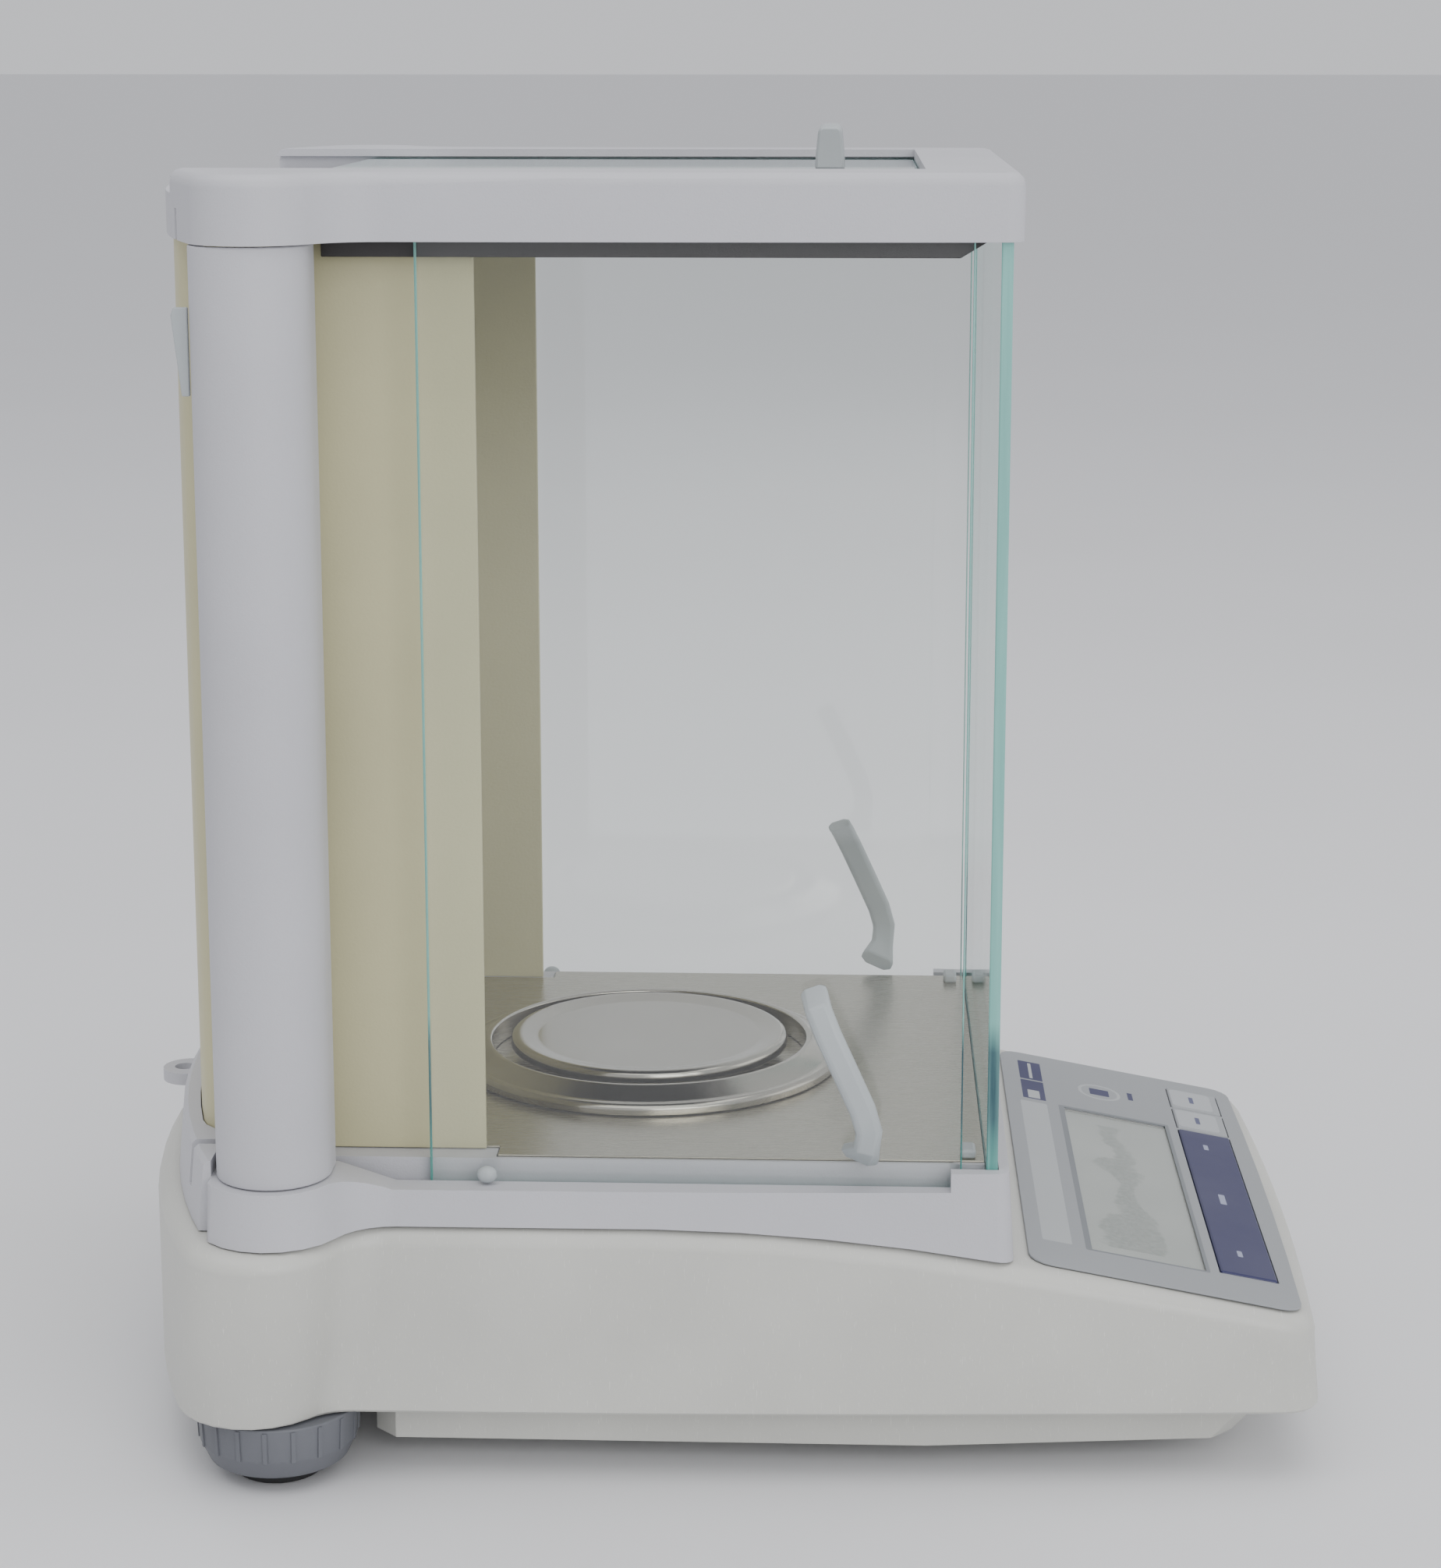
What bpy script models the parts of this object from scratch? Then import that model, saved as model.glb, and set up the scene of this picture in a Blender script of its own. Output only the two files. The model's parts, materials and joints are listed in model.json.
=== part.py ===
"""Analytical balance with a glass draft shield, modelled in Blender 4.5.

Run it with: blender --background --python part.py
Metres, +Z up. The display faces -Y, the levelling feet are at +Y, and the origin lies on the
table under the middle of the balance. Each sub-part is one closed solid with its own object.
"""

import math
from collections import namedtuple

import bmesh
import bpy
from mathutils import Matrix, Vector

# ---------------------------------------------------------------- driving sizes, base and plan
BODY_WIDTH = 0.2520  # across the two rear bulges
BODY_DEPTH = 0.324
BULGE_OVERHANG = 0.0230  # how far a rear bulge stands out past the straight side
BULGE_RADIUS = 0.021
NECK_RADIUS = 0.014  # hollow curve between side and bulge
REAR_ARC_RADIUS = 0.285
SIDE_ARC_RADIUS = 3.6
FRONT_ARC_RADIUS = 1.5
SHIELD_FRONT_RADIUS = 12.0  # the draft shield is almost straight in front
FRONT_CORNER_RADIUS = 0.010
BASE_BOTTOM = 0.0200  # lower rim of the base housing above the table
BASE_TOP = 0.0710
BULGE_DRAFT = 0.0100  # the bulges are this much narrower at the lower rim
CHIN_DRAFT = 0.0016  # the front face comes forward by this much at the lower rim
SHELL_WALL = 0.0025
TOP_EDGE_RADIUS = 0.005
TOP_BEND_START = 0.0248  # Y where the base top starts to fall towards the display
TOP_BEND_END = -0.0752
TERMINAL_SLOPE = 0.186  # fall of the display panel per unit of depth

# ---------------------------------------------------------------- driving sizes, draft shield
BODY_HEIGHT = 0.344  # table to the top of the cover
COVER_THICKNESS = 0.0173
SKIRT_INSET = 0.0035
SHIELD_REAR = 0.1578  # rear of the arc that the draft shield is inset from
SHIELD_BULGE_CUT = 0.0024  # the shield's bulges are this much narrower than the base's
SKIRT_DRAFT = 0.0017  # the skirt is this much wider at its foot
SKIRT_TOP = 0.0862
SKIRT_FRONT = -0.0762
SKIRT_CORNER_RADIUS = 0.0035
REAR_RIM_TOP = 0.0905
REAR_RIM_FRONT = 0.1315
REAR_RIM_HALF = 0.1062
SIDE_LEDGE_Z = 0.0812
COVER_INSET = 0.0050
COVER_REAR_CUT = 0.0018
COLUMN_INSET = 0.0060
COLUMN_FORWARD = 0.0006  # the columns stand this far in front of the bulges' centres
COLUMN_WALL = 0.0025
COVER_CORNER_RADIUS = 0.005
GLASS = 0.0030
DOOR_GLASS_INSET = 0.0108  # outer face of a side door, in from the straight side of the base
GLASS_CLEARANCE = 0.0004
FRONT_GLASS_Y = -0.0730  # outer face of the front pane
DOOR_WIDTH = 0.1397
DOOR_BOTTOM = 0.0790
GROOVE_BOTTOM = 0.0785
DOOR_TOP = BODY_HEIGHT - 0.0105
LEFT_DOOR_AJAR = 0.0058  # the left door stands this far open
SHEET_WALL = 0.0012
SHEET_HALF = 0.0822  # outer face of the painted chamber sheet
SHEET_FRONT = 0.0623
SHEET_CORNER_RADIUS = 0.012
SHEET_REAR_RADIUS = 0.280
SHEET_REAR = 0.1493
TOP_GLASS_DEPTH = 0.1610
TOP_OPENING_FRONT = -0.0452
TOP_OPENING_REAR = 0.0898
TOP_OPENING_HALF = 0.0760
TOP_DOOR_FRONT = -0.0509
TOP_DOOR_HALF = 0.0803
TOP_GLASS_BELOW_COVER = 0.0027

# ---------------------------------------------------------------- driving sizes, weighing side
PAN_DIAMETER = 0.080
PAN_CENTRE_Y = 0.0239
PAN_TOP = 0.0947
PAN_RIM_HEIGHT = 0.0026
FLOOR_SHEET = 0.0010
RING_INNER_RADIUS = PAN_DIAMETER / 2 + 0.0054
RING_OUTER_RADIUS = RING_INNER_RADIUS + 0.0099
RING_HEIGHT = 0.0067
RING_SHEET = 0.0010
RECEIVER_RADIUS = 0.0040
RECEIVER_HOLE_CLEARANCE = 0.0030
LEVER_SHORT_ARM = 0.0190
LEVER_LONG_ARM = 0.0620

# ---------------------------------------------------------------- driving sizes, controls
PANEL_REAR_Y = -0.0817
PANEL_HALF = 0.0925
PANEL_LENGTH = 0.0735  # along the slope
PANEL_FOIL = 0.0005
PANEL_CORNER_RADIUS = 0.006
WINDOW_LEFT = -0.0747
WINDOW_RIGHT = 0.0446
WINDOW_REAR = 0.0183  # distances along the slope from the panel's rear edge
WINDOW_FRONT = 0.0488
KEY_REAR = 0.0532
KEY_FRONT = 0.0688
TARE_LEFT = -0.0740
TARE_RIGHT = 0.0437
SMALL_KEY_WIDTH = 0.0178
SMALL_KEY_PITCH = 0.0198
KEY_STAND = 0.0012  # key top above the housing surface
KEY_DEPTH = 0.0040
KEY_FLANGE = 0.0006
KEY_CLEARANCE = 0.0003

# ---------------------------------------------------------------- driving sizes, feet and tray
FOOT_X = 0.0930
FOOT_FROM_REAR = 0.0440  # centre of a levelling foot, from the rear end of the base
FOOT_RADIUS = 0.0220
FOOT_RIBS = 18
FOOT_RIB_DEPTH = 0.0010
FOOT_WHEEL_BOTTOM = 0.0060
SPINDLE_RADIUS = 0.0039
SPINDLE_TOP = 0.0450
PAD_RADIUS = 0.0120
TRAY_PLATE = 0.0020
BELLY_FLOOR_Z = 0.0075
BELLY_HALF = 0.0900
BELLY_REAR_HALF = 0.0680
BELLY_FRONT = -0.1380
BELLY_FRONT_SLOPE = 0.0130
BELLY_TAPER_START = -0.0552
BELLY_STEP_Y = 0.0930
BELLY_REAR = 0.1428
BELLY_WALL = 0.0015
FRONT_FOOT_X = 0.0550
FRONT_FOOT_Y = -0.1102
FRONT_FOOT_RADIUS = 0.0090
SCREW_HEAD_RADIUS = 0.0027
SCREW_SHANK_RADIUS = 0.0014
LUG_RADIUS = 0.0075
LUG_HOLE_RADIUS = 0.0030

# ---------------------------------------------------------------- driving sizes, other places
BUSH_RADIUS = 0.0065
WEIGH_BELOW_RADIUS = 0.0120
SKIRT_HOLE_REAR = 0.1090
LEDGE_FRONT = -0.0607
RAMP_FRONT = 0.0850  # the side ledge climbs from here to the foot of the column
FRONT_GLASS_HALF = 0.0925
FRONT_GLASS_BOTTOM = 0.0842
FLOOR_REAR = 0.1165
HANDLE_WIDTH = 0.0070
HANDLE_THICK = 0.0034
HANDLE_FOOT_GROW = 1.5
GUIDE_STUD_Y = 0.0608
TOP_HANDLE_Y = -0.0269
LEVER_Z = 0.0405
LEVER_THICK = 0.0030
LEVEL_Y = 0.1028

# ---------------------------------------------------------------- fits
SEAT = 0.0003  # gap that touching pieces keep
SEAM = 0.0004  # gap between base housing and skirt
THROUGH = 0.02  # how far a cutter runs past the face it opens

# ---------------------------------------------------------------- worked out from the above
SIDE_HALF = BODY_WIDTH / 2 - BULGE_OVERHANG
FOOT_Y = BODY_DEPTH / 2 - FOOT_FROM_REAR
COVER_BOTTOM = BODY_HEIGHT - COVER_THICKNESS
DOOR_OUTER = SIDE_HALF - DOOR_GLASS_INSET
DOOR_INNER = DOOR_OUTER - GLASS
FLOOR_TOP = SKIRT_TOP + 0.0005
DOOR_CLOSED_FRONT = FRONT_GLASS_Y + GLASS + 0.0006
PANEL_ANGLE = math.atan(TERMINAL_SLOPE)
TERMINAL_BEND = TERMINAL_SLOPE / 2 / (TOP_BEND_START - TOP_BEND_END)

Plan = namedtuple("Plan", "front front_radius corner rear bulge_cut")
BASE_FRONT = -BODY_DEPTH / 2
BASE_PLAN = Plan(
    BASE_FRONT + CHIN_DRAFT, FRONT_ARC_RADIUS, FRONT_CORNER_RADIUS, BODY_DEPTH / 2, 0.0
)
BASE_FOOT_PLAN = BASE_PLAN._replace(front=BASE_FRONT, bulge_cut=BULGE_DRAFT)
SKIRT_PLAN = Plan(
    SKIRT_FRONT - SKIRT_INSET,
    SHIELD_FRONT_RADIUS,
    SKIRT_CORNER_RADIUS + SKIRT_INSET,
    SHIELD_REAR,
    SHIELD_BULGE_CUT,
)
COVER_PLAN = SKIRT_PLAN._replace(
    front=SKIRT_FRONT - COVER_INSET,
    corner=COVER_CORNER_RADIUS + COVER_INSET,
    rear=SHIELD_REAR - COVER_REAR_CUT,
)

FINISHES = {
    "shield_plastic": ((0.47, 0.47, 0.51), 0.55, 0.0),
    "housing_paint": ((0.51, 0.51, 0.48), 0.45, 0.0),
    "sheet_paint": ((0.47, 0.45, 0.33), 0.50, 0.0),
    "black_plastic": ((0.03, 0.028, 0.027), 0.45, 0.0),
    "foot_plastic": ((0.20, 0.21, 0.23), 0.55, 0.0),
    "handle_plastic": ((0.42, 0.45, 0.45), 0.50, 0.0),
    "clear_glass": ((0.70, 0.80, 0.78), 0.05, 0.0),
    "polished_steel": ((0.55, 0.54, 0.52), 0.18, 1.0),
    "satin_steel": ((0.42, 0.41, 0.38), 0.35, 1.0),
    "panel_foil": ((0.30, 0.32, 0.33), 0.45, 0.0),
    "key_blue": ((0.03, 0.03, 0.14), 0.40, 0.0),
    "display": ((0.30, 0.31, 0.28), 0.30, 0.0),
    "aluminium": ((0.62, 0.62, 0.63), 0.35, 1.0),
    "copper": ((0.60, 0.26, 0.13), 0.35, 1.0),
    "magnet_steel": ((0.28, 0.28, 0.29), 0.40, 1.0),
    "circuit_board": ((0.03, 0.18, 0.07), 0.50, 0.0),
    "brass": ((0.60, 0.44, 0.16), 0.30, 1.0),
    "rubber": ((0.02, 0.02, 0.02), 0.80, 0.0),
    "zinc_screw": ((0.50, 0.50, 0.50), 0.30, 1.0),
}


# ---------------------------------------------------------------- scene and mesh helpers
def start_scene():
    for old in list(bpy.data.objects):
        bpy.data.objects.remove(old, do_unlink=True)
    collections = []
    for name in ("analytical_balance", "cutters"):
        made = bpy.data.collections.new(name)
        bpy.context.scene.collection.children.link(made)
        collections.append(made)
    return collections


def make_materials():
    made = {}
    for name, (colour, roughness, metallic) in FINISHES.items():
        material = bpy.data.materials.new(name)
        material.use_nodes = True
        shader = material.node_tree.nodes["Principled BSDF"]
        shader.inputs["Base Color"].default_value = (*colour, 1.0)
        shader.inputs["Roughness"].default_value = roughness
        shader.inputs["Metallic"].default_value = metallic
        made[name] = material
    return made


PARTS, CUTTERS = start_scene()
MATERIALS = make_materials()


def link_object(name, data, finish, parent=None):
    obj = bpy.data.objects.new(name, data)
    if finish is None:
        CUTTERS.objects.link(obj)
        obj.hide_render = True
        obj.display_type = "WIRE"
    else:
        PARTS.objects.link(obj)
        obj.data.materials.append(MATERIALS[finish])
    if parent is not None:
        obj.parent = parent
    return obj


def mesh_object(name, bm, finish, parent=None, smooth=False):
    """Closes the bmesh into an object. A finish of None makes it a cutter."""
    bmesh.ops.recalc_face_normals(bm, faces=bm.faces)
    mesh = bpy.data.meshes.new(name)
    bm.to_mesh(mesh)
    bm.free()
    if smooth:
        mesh.shade_smooth()
        mesh.set_sharp_from_angle(angle=math.radians(35))
    return link_object(name, mesh, finish, parent)


def box(name, low, high, finish=None, parent=None, bevel=0.0):
    low, high = Vector(low), Vector(high)
    size = high - low
    bm = bmesh.new()
    place = Matrix.Translation((low + high) / 2) @ Matrix.Diagonal((*size, 1.0))
    bmesh.ops.create_cube(bm, size=1.0, matrix=place)
    obj = mesh_object(name, bm, finish, parent)
    if bevel:
        add_bevel(obj, bevel)
    return obj


def add_bevel(obj, width, segments=1, angle=40.0):
    modifier = obj.modifiers.new("Bevel", "BEVEL")
    modifier.width = width
    modifier.segments = segments
    modifier.limit_method = "ANGLE"
    modifier.angle_limit = math.radians(angle)


def cylinder(name, centre, radius, low, high, finish=None, axis="Z", segments=32, parent=None):
    """A round bar whose axis passes centre (the two other coordinates), from low to high along it."""
    bm = bmesh.new()
    a, b = centre
    middle = (low + high) / 2
    if axis == "Z":
        place = Matrix.Translation((a, b, middle))
    elif axis == "Y":
        place = Matrix.Translation((a, middle, b)) @ Matrix.Rotation(math.pi / 2, 4, "X")
    else:
        place = Matrix.Translation((middle, a, b)) @ Matrix.Rotation(math.pi / 2, 4, "Y")
    bmesh.ops.create_cone(
        bm,
        cap_ends=True,
        segments=segments,
        radius1=radius,
        radius2=radius,
        depth=high - low,
        matrix=place,
    )
    return mesh_object(name, bm, finish, parent, smooth=True)


def prism(name, bottom, top, low, high, finish=None, parent=None, axis="Z", bevel=0.0):
    """A solid between two flat outlines with the same number of points."""
    order = {"Z": lambda p, h: (p[0], p[1], h), "X": lambda p, h: (h, p[0], p[1])}[axis]
    bm = bmesh.new()
    lower = [bm.verts.new(order(p, low)) for p in bottom]
    upper = [bm.verts.new(order(p, high)) for p in top]
    bm.faces.new(lower)
    bm.faces.new(upper)
    count = len(lower)
    for i in range(count):
        j = (i + 1) % count
        bm.faces.new((lower[i], lower[j], upper[j], upper[i]))
    if bottom is not top:
        bmesh.ops.triangulate(bm, faces=bm.faces)
    obj = mesh_object(name, bm, finish, parent)
    if bevel:
        add_bevel(obj, bevel)
    return obj


def turned(name, profile, centre, finish, segments=48, parent=None, closed=False):
    """A turned shape: (radius, height) points spun about a vertical axis through centre."""
    bm = bmesh.new()
    points = [bm.verts.new((r, 0.0, z)) for r, z in profile]
    for first, second in zip(points, points[1:]):
        bm.edges.new((first, second))
    if closed:
        bm.edges.new((points[-1], points[0]))
    mesh = bpy.data.meshes.new(name)
    bm.to_mesh(mesh)
    bm.free()
    obj = link_object(name, mesh, finish, parent)
    obj.location = (centre[0], centre[1], 0.0)
    screw = obj.modifiers.new("Screw", "SCREW")
    screw.axis = "Z"
    screw.steps = segments
    screw.render_steps = segments
    screw.use_merge_vertices = True
    screw.merge_threshold = 0.00001
    screw.use_smooth_shade = True
    return obj


def cut(obj, *cutters):
    for cutter in cutters:
        modifier = obj.modifiers.new("Cut " + cutter.name, "BOOLEAN")
        modifier.operation = "DIFFERENCE"
        modifier.solver = "EXACT"
        modifier.object = cutter


def join(obj, *pieces):
    for piece in pieces:
        modifier = obj.modifiers.new("Join " + piece.name, "BOOLEAN")
        modifier.operation = "UNION"
        modifier.solver = "EXACT"
        modifier.object = piece


# ---------------------------------------------------------------- plan outlines
def arc(centre, radius, start, end, steps):
    """Points from angle start to angle end, in radians, both ends included."""
    made = []
    for i in range(steps + 1):
        angle = start + (end - start) * i / steps
        made.append((centre[0] + radius * math.cos(angle), centre[1] + radius * math.sin(angle)))
    return made


def circle_meet(first, first_radius, second, second_radius):
    """The crossing of two circles with the lower x."""
    dx, dy = second[0] - first[0], second[1] - first[1]
    apart = math.hypot(dx, dy)
    along = (first_radius**2 - second_radius**2 + apart**2) / (2 * apart)
    aside = math.sqrt(first_radius**2 - along**2)
    middle = (first[0] + along * dx / apart, first[1] + along * dy / apart)
    sides = [
        (middle[0] + aside * dy / apart, middle[1] - aside * dx / apart),
        (middle[0] - aside * dy / apart, middle[1] + aside * dx / apart),
    ]
    return min(sides)


def direction(centre, point):
    return math.atan2(point[1] - centre[1], point[0] - centre[0])


def bulge_centres(plan):
    """Centres of the rear arc, the left bulge and the hollow neck in front of it."""
    rear = (0.0, plan.rear - REAR_ARC_RADIUS)
    bulge_x = BODY_WIDTH / 2 - plan.bulge_cut - BULGE_RADIUS
    reach = REAR_ARC_RADIUS - BULGE_RADIUS
    bulge = (-bulge_x, rear[1] + math.sqrt(reach**2 - bulge_x**2))
    neck_x = SIDE_HALF + NECK_RADIUS
    span = BULGE_RADIUS + NECK_RADIUS
    neck = (-neck_x, bulge[1] - math.sqrt(span**2 - (neck_x - bulge_x) ** 2))
    return rear, bulge, neck


def half_outline(plan, inset=0.0):
    """Left half of the body's plan, from the front middle to the rear middle."""
    rear, bulge, neck = bulge_centres(plan)
    side = (SIDE_ARC_RADIUS - SIDE_HALF, neck[1])
    front = (0.0, plan.front + plan.front_radius)
    corner = circle_meet(
        front, plan.front_radius - plan.corner, side, SIDE_ARC_RADIUS - plan.corner
    )
    front_angle = direction(front, corner)
    side_angle = direction(side, corner) % (2 * math.pi)
    neck_end = direction(bulge, neck)
    rear_start = direction(rear, bulge)
    points = arc(front, plan.front_radius - inset, -math.pi / 2, front_angle, 5)
    points += arc(corner, plan.corner - inset, front_angle, side_angle - 2 * math.pi, 5)
    points += arc(side, SIDE_ARC_RADIUS - inset, side_angle, math.pi, 7)[1:]
    points += arc(neck, NECK_RADIUS + inset, 0.0, neck_end + math.pi, 5)[1:]
    points += arc(bulge, BULGE_RADIUS - inset, neck_end + 2 * math.pi, rear_start, 8)[1:]
    points += arc(rear, REAR_ARC_RADIUS - inset, rear_start, math.pi / 2, 8)[1:]
    points[0] = (0.0, points[0][1])
    points[-1] = (0.0, points[-1][1])
    return points


def base_top(y):
    """Height of the base housing's top surface."""
    if y >= TOP_BEND_START:
        return BASE_TOP
    bent = max(y, TOP_BEND_END)
    fall = TERMINAL_BEND * (TOP_BEND_START - bent) ** 2
    return BASE_TOP - fall - TERMINAL_SLOPE * (bent - y)


def loft(name, rings, finish, close_bottom=True, parent=None):
    """A body between mirrored outlines. Each ring is (half outline, height or height function)."""
    bm = bmesh.new()
    loops = []
    for outline, height in rings:
        heights = [height(y) if callable(height) else height for _, y in outline]
        left = [bm.verts.new((x, y, z)) for (x, y), z in zip(outline, heights)]
        mirrored = list(zip(outline, heights))[-2:0:-1]
        right = [bm.verts.new((-x, y, z)) for (x, y), z in mirrored]
        loops.append((left, left + right, [left[0]] + right[::-1] + [left[-1]]))
    for (_, lower, _), (_, upper, _) in zip(loops, loops[1:]):
        for i in range(len(lower)):
            j = (i + 1) % len(lower)
            bm.faces.new((lower[i], lower[j], upper[j], upper[i]))
    for left, _, right in loops[-1:] + (loops[:1] if close_bottom else []):
        for i in range(len(left) - 1):
            corners = [left[i], left[i + 1], right[i + 1], right[i]]
            bm.faces.new(list(dict.fromkeys(corners)))
    return mesh_object(name, bm, finish, parent, smooth=True)


def mirror_name(name, side):
    return ("left_" if side < 0 else "right_") + name


def offset_wall(path, thickness):
    """A closed outline around an open path, thickness to the right of its direction."""
    inner = []
    for i, point in enumerate(path):
        before = Vector(path[max(i - 1, 0)])
        after = Vector(path[min(i + 1, len(path) - 1)])
        along = (after - before).normalized()
        normal = Vector((along.y, -along.x))
        inner.append((point[0] + normal.x * thickness, point[1] + normal.y * thickness))
    return list(path) + inner[::-1]


# ---------------------------------------------------------------- base housing and tray
def rounded_top_rings(plan, inset, radius, height):
    """The last rings of a loft whose top edge is rounded."""
    made = []
    for step in range(4):
        angle = math.pi / 2 * step / 3
        move_in = radius * (1 - math.cos(angle))
        drop = radius * (1 - math.sin(angle))
        made.append((half_outline(plan, inset + move_in), lambda y, d=drop: height(y) - d))
    return made


def make_base_housing():
    lip = 0.0008
    waist = BASE_BOTTOM + 0.019
    rings = [
        (half_outline(BASE_FOOT_PLAN, lip), BASE_BOTTOM),
        (half_outline(BASE_FOOT_PLAN, 0.0), BASE_BOTTOM + lip),
        (half_outline(BASE_PLAN._replace(bulge_cut=BULGE_DRAFT / 2), 0.0), waist),
    ]
    rings += rounded_top_rings(BASE_PLAN, 0.0, TOP_EDGE_RADIUS, base_top)
    housing = loft("base_housing", rings, "housing_paint")
    inner_rings = [
        (half_outline(BASE_FOOT_PLAN, SHELL_WALL), BASE_BOTTOM - THROUGH / 2),
        (half_outline(BASE_FOOT_PLAN, SHELL_WALL), BASE_BOTTOM),
        (half_outline(BASE_PLAN._replace(bulge_cut=BULGE_DRAFT / 2), SHELL_WALL), waist),
        (half_outline(BASE_PLAN, SHELL_WALL), lambda y: base_top(y) - SHELL_WALL - 0.0015),
        (half_outline(BASE_PLAN, SHELL_WALL + 0.0015), lambda y: base_top(y) - SHELL_WALL),
    ]
    cut(housing, loft("housing_hollow", inner_rings, None))
    hole = RECEIVER_RADIUS + RECEIVER_HOLE_CLEARANCE
    cut(
        housing,
        cylinder("receiver_hole", (0.0, PAN_CENTRE_Y), hole, BASE_TOP - THROUGH, BASE_TOP + THROUGH),
    )
    return housing


def make_tray():
    """Pressed base plate with a belly that holds the front feet."""
    plate_low = BASE_BOTTOM + SEAT * 2
    inset = SHELL_WALL + SEAT * 3
    rings = [
        (half_outline(BASE_FOOT_PLAN, inset), plate_low),
        (half_outline(BASE_FOOT_PLAN, inset), plate_low + TRAY_PLATE),
    ]
    tray = loft("bottom_tray", rings, "housing_paint")
    sloped = BELLY_FRONT - BELLY_FRONT_SLOPE
    outer_low = belly_outline(0.0, BELLY_FRONT)
    outer_high = belly_outline(0.0, sloped)
    belly = prism("belly_outer", outer_low, outer_high, BELLY_FLOOR_Z, plate_low + TRAY_PLATE / 2)
    inner_low = belly_outline(BELLY_WALL, BELLY_FRONT)
    inner_high = belly_outline(BELLY_WALL, sloped)
    hollow = prism(
        "belly_inner", inner_low, inner_high, BELLY_FLOOR_Z + BELLY_WALL, plate_low + THROUGH
    )
    join(tray, belly)
    cut(tray, hollow)
    for side in (-1, 1):
        hole = BUSH_RADIUS + SEAT
        name = mirror_name("bush_hole", side)
        cut(tray, cylinder(name, (side * FOOT_X, FOOT_Y), hole, 0.0, BASE_TOP))
    for index, (x, y) in enumerate(screw_places()):
        hole = SCREW_SHANK_RADIUS + SEAT
        cut(tray, cylinder(f"tray_screw_hole_{index}", (x, y), hole, 0.0, BASE_TOP, segments=16))
    radius = WEIGH_BELOW_RADIUS + SEAT
    place = (0.0, PAN_CENTRE_Y)
    cut(tray, cylinder("weigh_below_hole", place, radius, 0.0, BASE_BOTTOM))
    return tray


def belly_outline(inset, front):
    half, rear_half = BELLY_HALF - inset, BELLY_REAR_HALF - inset
    left = [
        (-half + 0.014, front + inset),
        (-half + 0.008, front + inset + 0.006),
        (-half, BELLY_TAPER_START),
        (-half, BELLY_STEP_Y - inset - 0.006),
        (-half + 0.006, BELLY_STEP_Y - inset),
        (-rear_half, BELLY_STEP_Y - inset),
        (-rear_half, BELLY_REAR - inset),
    ]
    return left + [(-x, y) for x, y in reversed(left)]


def screw_places():
    """Tray screws, between the belly and the side walls."""
    across = BELLY_HALF + SCREW_HEAD_RADIUS + 0.0013
    return [(side * across, y) for y in (-0.025, 0.060) for side in (-1, 1)]


def make_tray_screws():
    plate_low = BASE_BOTTOM + SEAT * 2
    for index, (x, y) in enumerate(screw_places()):
        head_low = plate_low - SEAT - 0.0016
        profile = [
            (0.0, plate_low + 0.0065),
            (SCREW_SHANK_RADIUS, plate_low + 0.0065),
            (SCREW_SHANK_RADIUS, plate_low - SEAT),
            (SCREW_HEAD_RADIUS, plate_low - SEAT),
            (SCREW_HEAD_RADIUS - 0.0004, head_low),
            (0.0, head_low),
        ]
        turned(f"tray_screw_{index + 1}", profile, (x, y), "zinc_screw", segments=16)


def make_weigh_below_cover():
    """Round lid under the weighing cell, pressed into the tray."""
    z = BELLY_FLOOR_Z
    profile = [
        (0.0, z + 0.0030),
        (WEIGH_BELOW_RADIUS, z + 0.0030),
        (WEIGH_BELOW_RADIUS, z),
        (0.0, z),
    ]
    turned("weigh_below_cover", profile, (0.0, PAN_CENTRE_Y), "foot_plastic", segments=32)


# ---------------------------------------------------------------- levelling feet
def ribbed_ring(bm, radius, height):
    points = []
    for rib in range(FOOT_RIBS):
        for part, depth in ((0.0, 0.0), (0.28, 0.0), (0.40, 1.0), (0.88, 1.0)):
            angle = 2 * math.pi * (rib + part) / FOOT_RIBS
            r = radius - FOOT_RIB_DEPTH * depth
            points.append(bm.verts.new((r * math.cos(angle), r * math.sin(angle), height)))
    return points


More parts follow.
